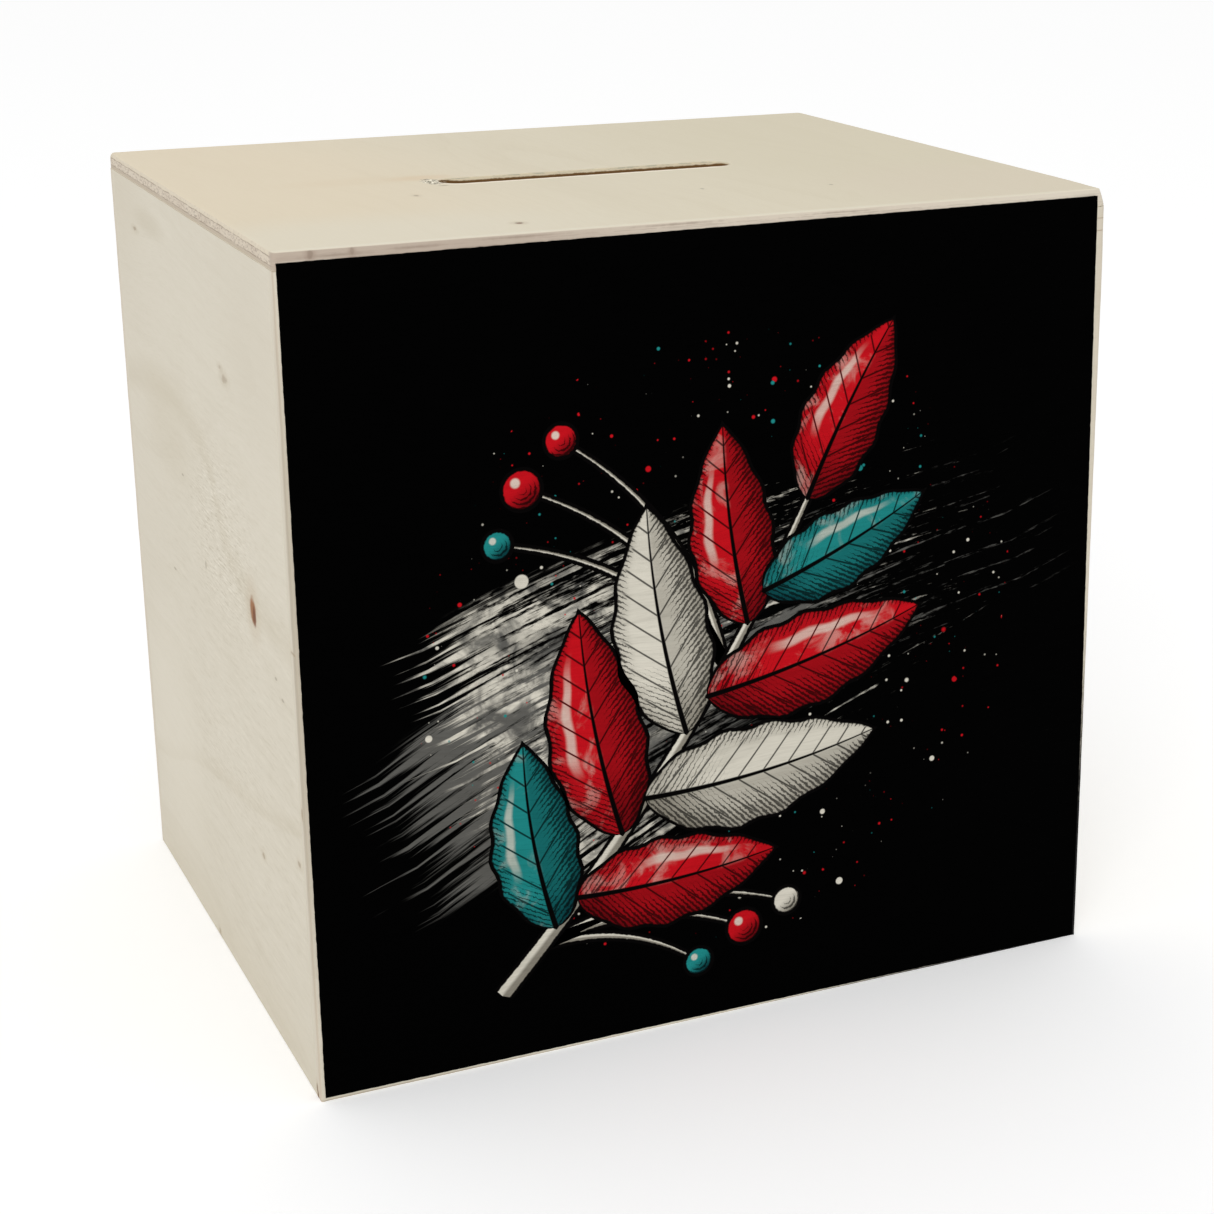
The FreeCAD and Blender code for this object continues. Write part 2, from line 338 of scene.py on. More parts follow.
def squareRectangle(halfU, halfV):
    corners = [Vector((u * halfU, v * halfV)) for u, v in ((1, 1), (-1, 1), (-1, -1), (1, -1))]
    return spread(corners, boardEdges["step"])


def slotOutline(centre, length, width):
    parts = 6 * boardEdges["arcParts"]
    points = []
    for side in (1, -1):
        middle = centre + Vector((side * (length - width) / 2, 0))
        for part in range(parts + 1):
            angle = math.pi * (part / parts - 0.5 * side)
            points.append(middle + width / 2 * Vector((math.cos(angle), math.sin(angle))))
    return spread(points, boardEdges["step"] / 4)


def intoWood(points, index, isHole):
    # Mitred inward step at a point of a counter-clockwise outline
    here = points[index]
    before = (here - points[index - 1]).normalized()
    after = (points[(index + 1) % len(points)] - here).normalized()
    step = Vector((-before.y - after.y, before.x + after.x)) / (1 + before.dot(after))
    return -step if isHole else step


def edgeProfile(thick, outer, inner, flat):
    # (inset, height) pairs from the inner face to the outer one; outer and inner are (inset, height) radii,
    # and flat turns the outer rounding into a bevel
    parts = boardEdges["roundParts"]
    hold = boardEdges["hold"]
    pairs = [(inner[0] + hold, 0.0)]
    for part in range(parts + 1):
        angle = math.pi / 2 * part / parts
        pairs.append((inner[0] * (1 - math.sin(angle)), inner[1] * (1 - math.cos(angle))))
    for part in range(parts + 1):
        share = part / parts
        inset = (1 - flat) * (1 - math.cos(math.pi / 2 * share)) + flat * share
        rise = (1 - flat) * math.sin(math.pi / 2 * share) + flat * share
        pairs.append((outer[0] * inset, thick - outer[1] * (1 - rise)))
    pairs.append((outer[0] + hold, thick))
    return pairs


def boardFrame(node, facing):
    # Where a board's middle lies on its inner face, its two run axes and its outward axis;
    # faces are the places of its inner and outer face
    low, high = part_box(node)
    axis = "XYZ".index(facing[1])
    outward = facing[0] == "+"
    runs = [index for index in range(3) if index != axis]
    faces = (low[axis], high[axis]) if outward else (high[axis], low[axis])
    middle = (Vector(low) + Vector(high)) / 2
    middle[axis] = faces[0]
    out = Vector((0, 0, 0))
    out[axis] = 1 if outward else -1
    half = [(high[index] - low[index]) / 2 for index in runs]
    thick = high[axis] - low[axis]
    return {"middle": middle, "runs": runs, "out": out, "half": half, "thick": thick, "faces": faces}


def liftPoint(board, spot, height):
    point = board["middle"] + board["out"] * height
    for index, value in zip(board["runs"], spot):
        point[index] += value
    return point


def bridge(shape, lower, upper):
    # Faces between two closed rings of points
    pairs = list(zip(lower, upper))
    return [
        shape.faces.new((below, nextBelow, nextAbove, above))
        for (below, above), (nextBelow, nextAbove) in zip(pairs, pairs[1:] + pairs[:1])
    ]


def finishMesh(shape, name):
    bmesh.ops.recalc_face_normals(shape, faces=shape.faces)
    mesh = bpy.data.meshes.new(name)
    shape.to_mesh(mesh)
    shape.free()
    mesh.polygons.foreach_set("use_smooth", [True] * len(mesh.polygons))
    mesh.set_sharp_from_angle(angle=boardEdges["sharpAngle"])
    piece = bpy.data.objects.new(name, mesh)
    bpy.context.scene.collection.objects.link(piece)
    return piece


def makeBoard(name, board, loops):
    # loops: outline first, then holes; each gives its points, its unevenness and its edge radii by place
    shape = bmesh.new()
    firstRings, lastRings = [], []
    for number, loop in enumerate(loops):
        points = loop["points"]
        rings = []
        for index, point in enumerate(points):
            inward = intoWood(points, index, number > 0)
            if loop.get("uprights") and abs(inward.x) > 0.5:
                inward.y = 0.0  # rounded only sideways, so that the ends stay flush
            outer, inner, flat = loop["radii"](point)
            start = point + inward * loop["uneven"](point)
            for level, (inset, height) in enumerate(edgeProfile(board["thick"], outer, inner, flat)):
                if index == 0:
                    rings.append([])
                rings[level].append(shape.verts.new(liftPoint(board, start + inward * inset, height)))
        for ring, above in zip(rings, rings[1:]):
            bridge(shape, ring, above)
        firstRings.append(rings[0])
        lastRings.append(rings[-1])
    for rings in (firstRings, lastRings):
        if len(rings) == 1:
            shape.faces.new(rings[0])
        else:
            sides = [pair for ring in rings for pair in zip(ring[-1:] + ring, ring)]
            edges = [shape.edges.get(pair) for pair in sides]
            bmesh.ops.triangle_fill(shape, use_beauty=True, edges=edges)
    return finishMesh(shape, name)


def unevenness(seed, size, pitch):
    # How far an edge is worn back from its true line, from 0 to size
    def wornBack(point):
        spot = Vector((point.x / pitch, point.y / pitch, seed))
        return size * (0.5 + 0.5 * max(-1.0, min(1.0, noise.noise(spot) * 1.6)))

    return wornBack


# Plywood finish, one material for each board

boardFinish = {
    "specular": 0.25,
    "reliefDepth": 0.12 * mm,
    "markDepth": 2 * mm,  # how far marks and torn patches reach into the sheet
    "tearDepth": 9 * mm,
    "coreSeed": 5.0,  # sets the core's figure apart from the face's
}


def growthLine(tree, along, across, line):
    # A late-wood line through a few points, in mm along and across the grain, fading to both sides
    runs, heights = zip(*line["track"])
    low, high = min(heights), max(heights)
    reach = runs[-1] - runs[0]
    spots = [((run - runs[0]) / reach, (height - low) / (high - low)) for run, height in line["track"]]
    share = remap(tree, along, runs[0] * mm, runs[-1] * mm, 0, 1)
    bend = putNode(tree, "ShaderNodeFloatCurve", {"Value": share})
    track = bend.mapping.curves[0]
    for spot in spots[1:-1]:
        track.points.new(*spot)
    track.points[0].location = spots[0]
    track.points[-1].location = spots[-1]
    bend.mapping.update()
    gap = minus(tree, across, remap(tree, bend.outputs[0], 0, 1, low * mm, high * mm))
    below = softStep(tree, gap, -line["below"], 0.0)
    above = softStep(tree, gap, line["above"], 0.0)
    return product(tree, below, above)


def addMark(tree, color, place, mark, centre, size):
    knot = useGroup(tree, pinKnot, Place=place, Centre=centre, Size=size, Ragged=mark["ragged"])
    color = layOver(tree, color, mark["haloColor"], knot["Halo"], mark["halo"])
    return layOver(tree, color, mark["heartColor"], knot["Heart"], mark["heart"])


def addTear(tree, color, grain, tear, level):
    # A patch of torn grain: short pale and dark flecks
    centre = (*tear["at"], level)
    size = (*tear["size"], boardFinish["tearDepth"])
    region = useGroup(tree, pinKnot, Place=grain, Centre=centre, Size=size, Ragged=0.2)
    flecks = noiseAt(tree, inMillimetres(tree, grain), tear["flecks"], 4.0, 0.7)
    amount = product(tree, region["Halo"], tear["share"])
    for low, high, tone in ((0.53, 0.66, tear["dark"]), (0.47, 0.34, tear["pale"])):
        color = layOver(tree, color, tone, softStep(tree, flecks, low, high), amount)
    return color


def slotWear(tree, place, color, sawn, wear):
    # Round the slot: a painted highlight along the front lip, a frayed left end, and on the cut
    # a pale upper wall painted bright where light barely reaches, greyed in patches, over a dark brown
    # lower band
    split = splitAxes(tree, place)
    aside = minus(tree, split[0], wear["centre"])
    past = calc(tree, "MAXIMUM", minus(tree, calc(tree, "ABSOLUTE", aside), wear["straight"]), 0.0)
    behind = minus(tree, split[1], wear["middle"])
    rim = minus(tree, vecCalc(tree, "LENGTH", joinAxes(tree, past, behind)), wear["radius"])
    inMm = inMillimetres(tree, place)
    flecks = noiseAt(tree, inMm, (1.1, 0.9, 1.6), 4.0, 0.7)
    ragged = product(tree, minus(tree, flecks, 0.5), wear["ragged"])

    # Painted highlight: a near-white band along the rounded front lip, on the face and on the cut
    front = product(tree, softStep(tree, rim, wear["lip"], 0.0), softStep(tree, behind, *wear["lipFront"]))
    front = product(tree, front, softStep(tree, aside, *wear["lipEnd"]))
    color = mixColor(tree, front, color, wear["lipHighlightColor"])
    sawn = mixColor(tree, front, sawn, wear["lipHighlightColor"])

    # Wall of the cut: a pale upper part, painted brighter than the wood so that it reads as lit, over a
    # dark brown band below a depth that rises towards both ends
    deep = total(tree, split[2], ragged)
    for low, high, rise in wear["tipBrowned"]:
        deep = minus(tree, deep, product(tree, softStep(tree, aside, low, high), rise))
    wall = mixColor(tree, softStep(tree, deep, *wear["browned"]), wear["wallPaintedLight"], wear["wallBrown"])
    greyed = softStep(tree, noiseAt(tree, inMm, (0.35, 0.35, 2.0), 3.0, 0.65), 0.42, 0.6)
    greyed = product(tree, greyed, softStep(tree, deep, *wear["greyed"]))
    wall = mixColor(tree, greyed, wall, wear["wallGrey"])
    rear = softStep(tree, behind, *wear["rearWall"])
    rear = calc(tree, "MAXIMUM", rear, softStep(tree, aside, *wear["endWall"]))
    rear = product(tree, softStep(tree, rim, *wear["wallRim"]), rear)
    sawn = mixColor(tree, rear, sawn, wall)

    end = vecCalc(tree, "DIVIDE", vecCalc(tree, "SUBTRACT", place, wear["frayAt"]), wear["fraySize"])
    frayed = softStep(tree, vecCalc(tree, "LENGTH", end), 1.0, 0.45)
    shreds = noiseAt(tree, inMm, (2.0, 0.7, 2.0), 4.0, 0.7)
    for low, high, tone in ((0.5, 0.56, wear["frayDark"]), (0.49, 0.43, wear["frayPale"])):
        share = product(tree, softStep(tree, shreds, low, high), frayed)
        color = mixColor(tree, share, color, tone)
        sawn = mixColor(tree, share, sawn, tone)
    return color, sawn


def boardMaterial(name, board):
    material, tree, shader = startMaterial(name, boardFinish["specular"])
    place = objectPlace(tree)
    split = splitAxes(tree, place)
    along, across, through = (split["XYZ".index(letter)] for letter in board["axes"])
    grain = joinAxes(tree, along, across, through)
    turned = joinAxes(tree, across, along, through)
    leaning = {"Vector": grain, "Angle": board["lean"]}
    leaned = putNode(tree, "ShaderNodeVectorRotate", leaning, rotation_type="Z_AXIS").outputs[0]
    depth = remap(tree, through, *board["faces"], 0, 1)

    figure = useGroup(
        tree, veneerFigure, Grain=leaned, Seed=board["seed"], Pale=board["pale"], Dark=board["dark"],
        Contrast=board["contrast"], Bands=board["bands"],
    )
    color = figure["Color"]
    for line in board.get("growthLines", ()):
        color = layOver(tree, color, line["color"], growthLine(tree, along, across, line), line["share"])
    for tear in board.get("tears", ()):
        color = addTear(tree, color, grain, tear, board["faces"][1])
    for mark in board["marks"]:
        # A mark lies on the outer face unless it says otherwise, given along and across the grain
        level = board["faces"][mark.get("face", 1)]
        size = (*mark["size"], boardFinish["markDepth"])
        color = addMark(tree, color, grain, mark, (*mark["at"], level), size)

    # Sawn edges
    edge = board["edge"]
    layers = useGroup(tree, plyLayers, Depth=depth, Place=grain)
    coreFigure = useGroup(
        tree, veneerFigure, Grain=turned, Seed=board["seed"] + boardFinish["coreSeed"], Pale=edge["core"],
        Dark=edge["coreDark"], Contrast=edge["coreContrast"],
    )
    veneer = mixColor(tree, softStep(tree, depth, 0.6, 0.4), edge["veneer"], edge["veneerLow"])
    specked = product(tree, layers["Fleck"], edge["fleckShare"])
    veneer = layOver(tree, veneer, edge["coreDark"], specked, 0.5)
    core = mixColor(tree, specked, coreFigure["Color"], edge["fleck"])
    sawn = mixColor(tree, layers["Core"], veneer, core)
    sawn = layOver(tree, sawn, edge["line"], layers["Line"], edge["lineShare"])
    sawn = layOver(tree, sawn, edge["line"], layers["Check"], edge["checkShare"])
    for mark in board.get("edgeMarks", ()):
        sawn = addMark(tree, sawn, place, mark, mark["at"], mark["size"])
    if "slot" in board:
        color, sawn = slotWear(tree, place, color, sawn, board["slot"])
    color = layOver(tree, color, sawn, layers["Edge"], edge["share"])

    # Relief: fibres on the faces, flecks and checks on the edges
    pitted = minus(tree, product(tree, layers["Fleck"], -0.8), product(tree, layers["Check"], 0.6))
    height = total(tree, figure["Height"], product(tree, pitted, layers["Edge"]))
    finishSurface(tree, shader, color, figure["Rough"], height, board["relief"], boardFinish["reliefDepth"])
    return material


plyEdge = {
    "core": srgb(206, 193, 176),
    "coreDark": srgb(176, 159, 141),
    "coreContrast": 0.9,
    "veneer": srgb(214, 204, 184),
    "veneerLow": srgb(184, 170, 150),
    "fleck": srgb(160, 140, 124),
    "fleckShare": 0.45,
    "line": srgb(146, 128, 108),
    "lineShare": 0.35,
    "checkShare": 0.2,
    "share": 1.0,
}


def markLook(halo, haloColor, heart, heartColor, ragged=0.4):
    # Share and tone of a soft halo and of the heart inside it
    tones = {"haloColor": srgb(*haloColor), "heartColor": srgb(*heartColor)}
    return {"halo": halo, "heart": heart, "ragged": ragged, **tones}


def placed(at, size):
    # A place on a board and a size there, both given in mm
    return {"at": [value * mm for value in at], "size": [value * mm for value in size]}


def markAt(at, size, look, **changes):
    return {**placed(at, size), **look, **changes}


def tintAt(at, size, share, color):
    # A broad soft change of tone
    return markAt(at, size, markLook(share, color, 0.0, color, 0.05))


def tearAt(at, size, share, flecks, dark, pale):
    # A patch of torn grain; flecks is how fine they are, per axis
    tones = {"dark": srgb(*dark), "pale": srgb(*pale)}
    return {**placed(at, size), "share": share, "flecks": flecks, **tones}


knotBrown = markLook(0.3, (176, 158, 128), 0.9, (112, 76, 52))
knotFaint = markLook(0.25, (188, 174, 148), 0.55, (150, 128, 100))
knotSoft = markLook(0.34, (186, 174, 152), 0.3, (150, 130, 106), 0.6)
poreMark = markLook(0.15, (196, 186, 164), 0.55, (140, 126, 104))


def dress(piece, material):
    piece.data.materials.clear()
    piece.data.materials.append(material)


def placeBoard(name, node, facing, loops, settings):
    # Builds a board in place of its node; facing is the side it shows
    board = boardFrame(node, facing)
    piece = makeBoard(name, board, loops(board))
    dress(piece, boardMaterial(f"{name}Wood", {**settings, "faces": board["faces"]}))
    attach(piece, "box")
    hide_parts(node)


# Top sheet, with the router-cut slot

topSheet = {
    "corner": 1.0 * mm,
    "edgeRound": 0.4 * mm,
    # extra wear at two corners: inset, height, reach and how flat it is
    "sandedFront": (0.45 * mm, 2.3 * mm, 8 * mm, 0.8),
    "sandedBack": (0.35 * mm, 0.7 * mm, 5 * mm, 0.0),
    "uneven": 0.07 * mm,
    "unevenPitch": 3 * mm,
    "seed": 4.0,
    "slotLength": 58 * mm,
    "slotWidth": 7.2 * mm,
    "slotFromFront": 58.2 * mm,
    "slotShort": 0.85 * mm,  # wood left standing at the right end
    "slotSpare": 0.2 * mm,  # drawn smaller by this, since the unevenness only widens it
    "slotUneven": 0.16 * mm,
    "slotPitch": 1.6 * mm,
    "slotSeed": 9.0,
    "slotTear": 0.45 * mm,  # deeper unevenness at the torn left end, with its pitch and reach
    "tearPitch": 0.5 * mm,
    "tearReach": 1.8 * mm,
    "tearSeed": 17.0,
    "slotRound": 0.2 * mm,
    "underRound": 0.1 * mm,
}
topLow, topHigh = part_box("top_panel")
lipBand = markLook(0.55, (158, 140, 125), 0.45, (124, 106, 92))
edgeStreak = markLook(0.5, (150, 134, 120), 0.2, (136, 120, 106), 0.9)
topSettings = {
    "axes": "YXZ",
    "lean": math.radians(4),
    "seed": 3.0,
    "pale": srgb(222, 213, 191),
    "dark": srgb(190, 174, 142),
    "contrast": 0.22,
    "bands": 0.3,
    "relief": 0.1,
    "edge": {
        **plyEdge,
        "core": srgb(216, 205, 187),
        "coreDark": srgb(192, 177, 159),
        "veneer": srgb(217, 206, 185),
        "veneerLow": srgb(190, 177, 158),
        "fleck": srgb(150, 131, 115),
        "fleckShare": 0.75,
        "line": srgb(138, 120, 102),
        "lineShare": 0.85,
    },
    "marks": [
        # Painted light: a paler, warmer patch near the left edge of the top; painted shade: a darker patch
        # near its right edge
        tintAt((14, -66), (46, 22), 0.55, (230, 214, 187)),
        tintAt((10, 62), (50, 26), 0.6, (213, 204, 179)),
        tintAt((-44, 58), (12, 12), 0.3, (218, 204, 186)),
        tintAt((-52, -58), (9, 18), 0.5, (224, 218, 200)),
        # Pale sanded lip along the front
        tintAt((-60.6, 0), (0.55, 300), 0.4, (232, 226, 208)),
        # Warm stain behind the slot's left end
        tintAt((3.4, -42), (2.4, 7), 0.15, (214, 192, 158)),
        tintAt((2.8, -30.5), (1.5, 3.0), 0.38, (218, 192, 156)),
        markAt((-16.7, -37.8), (0.8, 0.55), knotFaint),
        markAt((-51.3, -31.6), (0.85, 0.8), knotBrown),
        markAt((-35.8, 33.2), (0.6, 0.35), poreMark),
        markAt((-30.6, 10.3), (0.7, 0.35), poreMark),
        markAt((-7.6, -29.6), (0.5, 1.1), poreMark),
    ],
    "edgeMarks": [
        # Sawn front: darker at the left, paler at the right, a pale line at its foot and two brown bands
        tintAt((0, -61, 144.5), (300, 0.9, 1.6), 0.66, (199, 188, 173)),
        tintAt((-62, -61, 144.5), (24, 0.9, 1.6), 0.72, (170, 153, 138)),
        tintAt((80, -61, 144.5), (18, 0.9, 1.6), 0.6, (215, 207, 190)),
        tintAt((-70, -61, 143.3), (2.4, 0.9, 0.12), 0.3, (224, 215, 199)),
        markAt((-65, -61, 143.9), (2.6, 0.9, 0.12), edgeStreak),
        markAt((-52, -61, 144.2), (2.2, 0.9, 0.14), edgeStreak),
        markAt((-35, -61, 144.5), (3.4, 0.9, 0.1), edgeStreak),
        markAt((-8, -61, 144.6), (3.8, 0.9, 0.09), edgeStreak),
        markAt((22, -61, 144.5), (3.0, 0.9, 0.08), edgeStreak),
        markAt((-69, -61, 144.3), (0.5, 1, 0.8), lipBand),
        markAt((-62.4, -61, 144.4), (0.34, 1, 0.7), lipBand, heart=0.35),
    ],
    "slot": {
        "centre": -topSheet["slotShort"] / 2,
        "straight": (topSheet["slotLength"] - topSheet["slotShort"] - topSheet["slotWidth"]) / 2,
        "radius": topSheet["slotWidth"] / 2,
        "middle": topLow.y + topSheet["slotFromFront"],
        # painted highlight along the slot's front lip: its width and its colour
        "lip": 1.9 * mm,
        "lipHighlightColor": srgb(252, 243, 222),
        # where the lip and the walls of the cut begin and end, behind or beside the middle
        "lipFront": (-1 * mm, -3 * mm),
        "lipEnd": (27 * mm, 24 * mm),
        "rearWall": (-2 * mm, 0.0),
        "endWall": (26.5 * mm, 28 * mm),
        "wallRim": (0.6 * mm, 0.3 * mm),
        "ragged": 0.5 * mm,
        "browned": (topHigh.z - 0.5 * mm, topHigh.z - 0.78 * mm),
        # where the brown reaches higher at either end, and by how much
        "tipBrowned": [(-23 * mm, -28.5 * mm, 0.5 * mm), (26.3 * mm, 28.6 * mm, 0.3 * mm)],
        "greyed": (topHigh.z - 0.5 * mm, topHigh.z - 0.2 * mm),
        # upper wall of the cut, painted bright to stand in for light that barely reaches into the slot
        "wallPaintedLight": srgb(243, 229, 198),
        "wallBrown": srgb(118, 84, 44),
        "wallGrey": srgb(204, 199, 177),
        "frayAt": (-30.3 * mm, -2.4 * mm, topHigh.z),
        "fraySize": (2.3 * mm, 4.6 * mm, 2 * mm),
        "frayDark": srgb(112, 103, 82),
        "frayPale": srgb(248, 243, 226),
    },
}


def topLoops(board):
    halfU, halfV = board["half"]
    sanded = [
        (Vector((halfU, -halfV)), topSheet["sandedFront"]),
        (Vector((-halfU, halfV)), topSheet["sandedBack"]),
    ]
    outline = roundedRectangle(halfU, halfV, topSheet["corner"])
    worn = unevenness(topSheet["seed"], topSheet["uneven"], topSheet["unevenPitch"])

    centre = Vector((-topSheet["slotShort"] / 2, topSheet["slotFromFront"] - halfV))
    length = topSheet["slotLength"] - topSheet["slotShort"]
    spare = topSheet["slotSpare"]
    slot = slotOutline(centre, length - spare, topSheet["slotWidth"] - spare)
    lip = unevenness(topSheet["slotSeed"], topSheet["slotUneven"], topSheet["slotPitch"])
    fray = unevenness(topSheet["tearSeed"], topSheet["slotTear"], topSheet["tearPitch"])

    def outlineRadii(point):
        outer = Vector((topSheet["edgeRound"], topSheet["edgeRound"], 0.0))
        for corner, (inset, height, reach, flat) in sanded:
            outer += Vector((inset, height, flat)) * math.exp(-(((point - corner).length / reach) ** 2))
        return outer, (topSheet["underRound"],) * 2, outer[2]

    def slotRadii(_):
        return (topSheet["slotRound"],) * 2, (topSheet["slotRound"],) * 2, 0.0

    def slotWorn(point):
        start = centre.x - length / 2
        torn = max(0.0, 1 - (point.x - start) / topSheet["tearReach"])
        return lip(point) + fray(point) * torn

    return [
        {"points": outline, "radii": outlineRadii, "uneven": worn},
        {"points": slot, "radii": slotRadii, "uneven": slotWorn},
    ]


placeBoard("topSheet", "top_panel", "+Z", topLoops, topSettings)
print("top sheet made")


# Walls

wallEdges = {
    "upright": 0.42 * mm,  # sanded outer edges of front and back
    "sanded": 0.4 * mm,  # more rounding at the upper right
    "sandedReach": 7 * mm,
    "sharpFoot": 110 * mm,  # height below which the right edge grows sharper
    "plain": 0.12 * mm,
    "uneven": 0.05 * mm,
    "unevenPitch": 4 * mm,
}
frontEdge = {
    **plyEdge,
    "core": srgb(212, 203, 186),
    "coreDark": srgb(201, 191, 173),
    "coreContrast": 0.4,
    "veneer": srgb(203, 189, 170),
    "veneerLow": srgb(213, 206, 190),
    "fleck": srgb(196, 185, 166),
    "fleckShare": 0.3,
    "lineShare": 0.1,
    "checkShare": 0.12,
    "share": 0.9,
}
leftSettings = {
    "axes": "YZX",
    "lean": math.radians(-3),
    "seed": 1.0,
    "pale": srgb(215, 208, 192),
    "dark": srgb(180, 168, 143),
    "contrast": 0.3,
    "bands": 0.22,
    "relief": 0.16,
    "edge": plyEdge,
    "growthLines": [
        {
            "track": [
                (61, 101), (24, 105), (9, 104), (0, 102), (-8, 98),
                (-13, 91), (-19, 85), (-28, 82), (-61, 79),
            ],
            "below": 4.5 * mm, "above": 6.5 * mm, "share": 0.22, "color": srgb(184, 172, 146),
        },
        {
            "track": [(61, 21.5), (43, 25.3), (22, 32.2), (0, 36.4), (-21, 39.4), (-37, 42.5), (-61, 48.5)],
            "below": 0.8 * mm, "above": 4.5 * mm, "share": 0.2, "color": srgb(186, 174, 148),
        },
    ],
    "tears": [
        tearAt((-14, 87), (12, 8.5), 0.75, (0.3, 2.6, 2.6), (182, 171, 148), (232, 226, 212)),
        tearAt((-10, 43), (16, 5), 0.4, (0.28, 2.8, 2.8), (186, 175, 152), (229, 222, 208)),
        tearAt((-22, 52), (30, 30), 0.3, (0.2, 1.7, 1.7), (190, 180, 158), (227, 220, 205)),
    ],
    "marks": [
        tintAt((0, 0), (60, 5), 0.22, (204, 194, 172)),
        tintAt((58, 140), (12, 7), 0.3, (202, 192, 172)),
        tintAt((25, 98), (9, 5), 0.16, (190, 178, 152)),
        tintAt((38, 34), (12, 12), 0.5, (221, 214, 198)),
        tintAt((-44, 126), (9, 8), 0.4, (207, 199, 182)),
        tintAt((29, 136), (6, 1.2), 0.35, (190, 180, 158)),
        # The large knot: a brown lens with a dark red core
        markAt((-34.3, 79.7), (2.3, 3.0), markLook(0.3, (186, 166, 138), 0.95, (150, 100, 60), 0.15)),
        markAt((-35.0, 78.9), (1.3, 2.1), markLook(0.0, (186, 166, 138), 0.9, (112, 64, 34), 0.15)),
        markAt((-24.1, 117.7), (1.9, 0.8), knotSoft, heart=0.45),
        markAt((-21.5, 119.2), (1.0, 0.4), knotSoft),
        markAt((41.3, 133.1), (1.6, 0.42), knotSoft, heart=0.6),
        markAt((-30.6, 33.2), (1.0, 0.6), knotFaint),
        markAt((-55.7, 41.7), (1.1, 0.6), knotFaint),
        markAt((-47.4, 71.8), (0.9, 0.3), poreMark),
        markAt((-51.3, 69.2), (1.3, 0.3), poreMark),
        markAt((-0.2, 78.1), (0.5, 1.0), poreMark),
        markAt((14.0, 91.6), (1.0, 0.25), poreMark),
        markAt((27.0, 69.8), (1.2, 0.25), poreMark),
        markAt((9.7, 1.0), (0.8, 0.7), knotFaint),
    ],
}
rightSettings = {
    **leftSettings,
    "seed": 7.0,
    "contrast": 0.42,
    "bands": 0.42,
    "growthLines": [],
    "tears": [],
    "marks": [
        markAt((22.0, 44.0), (1.8, 1.2), knotFaint),
        markAt((-31.0, 96.0), (1.3, 0.9), knotBrown),
        markAt((40.0, 118.0), (1.4, 0.4), poreMark),
        markAt((-12.0, 21.0), (1.6, 0.3), poreMark),
    ],
}
inkBleed = markLook(0.0, (2, 2, 2), 1.0, (2, 2, 2), 0.1)
splitBrown = markLook(0.3, (182, 156, 126), 1.0, (104, 70, 44), 0.2)
frontSettings = {
    **rightSettings,
    "axes": "XZY",
    "seed": 11.0,
    "edge": frontEdge,
    "marks": [
        # Bare margin at the right, with two fine cracks, and ink over the sanded edge below
        tintAt((75, 130), (1.2, 40), 0.45, (194, 183, 163)),
        markAt((74.2, 139.9), (1.5, 0.1), knotFaint),
        markAt((74.2, 137.7), (1.5, 0.1), knotFaint),
        markAt((75, 0), (1.4, 66), inkBleed),
        markAt((80, 0), (76, 0.5), inkBleed),
        # Browned margin along the left edge
        tintAt((-75, 78), (0.5, 30), 0.85, (180, 170, 152)),
        # Grey line in the bare strip at the foot
        tintAt((-58, 0.24), (17, 0.06), 0.6, (164, 148, 130)),
    ],
    "edgeMarks": [
        tintAt((75, -60.8, 130), (1, 0.8, 40), 0.45, (194, 183, 163)),
        markAt((75, -60.6, 139.9), (1, 0.8, 0.1), knotFaint),
        markAt((75, -60.6, 137.7), (1, 0.8, 0.1), knotFaint),
        markAt((75, -61, 0), (1.6, 1.2, 66), inkBleed),
        markAt((80, -61, 0), (76, 1.2, 0.5), inkBleed),
        # Left edge: as pale as the side wall at the joint, browned beside the ink, with a few specks
        tintAt((-75, -58.2, 70), (2, 0.5, 90), 0.7, (212, 205, 189)),
        tintAt((-75, -60.7, 78), (2, 0.48, 30), 0.9, (178, 168, 150)),
        tintAt((-75, -59.8, 60), (2, 0.1, 22), 0.5, (168, 158, 141)),
        markAt((-75, -59.4, 52), (2, 0.6, 1.2), knotFaint),
        markAt((-75, -59.4, 80), (2, 1.4, 0.3), knotFaint),
        # Split and brown at the foot of the left edge
        markAt((-75, -59.1, 0.4), (2, 0.5, 1.2), splitBrown),
        markAt((-75, -58.6, 1.7), (2, 0.32, 1.0), splitBrown),
    ],
}
backSettings = {
    **frontSettings,
    "seed": 15.0,
    "edgeMarks": [],
    "marks": [
        markAt((30.0, 92.0), (2.6, 1.7), knotBrown),
        markAt((-48.0, 38.0), (1.7, 0.8), knotFaint),
        markAt((-14.0, 119.0), (1.4, 0.5), knotFaint),
        markAt((52.0, 27.0), (1.5, 0.3), poreMark),
        markAt((-60.0, 84.0), (1.2, 0.3), poreMark),
    ],
}


def wallLoops(seed, roundUprights):
    def loops(board):
        halfU, halfV = board["half"]

        def radii(point):
            outer = wallEdges["plain"]
            if roundUprights and abs(point.x) > halfU - outer:
                share = 1.0 if point.x < 0 else min(1.0, (point.y + halfV) / wallEdges["sharpFoot"])
                outer += share * (wallEdges["upright"] - outer)
                if point.x > 0:
                    below = (halfV - point.y) / wallEdges["sandedReach"]
                    outer += wallEdges["sanded"] * math.exp(-(below ** 2))
            return (outer, outer), (wallEdges["plain"],) * 2, 0.0

        points = squareRectangle(halfU, halfV)
        worn = unevenness(seed, wallEdges["uneven"], wallEdges["unevenPitch"])
        return [{"points": points, "radii": radii, "uneven": worn, "uprights": roundUprights}]

    return loops


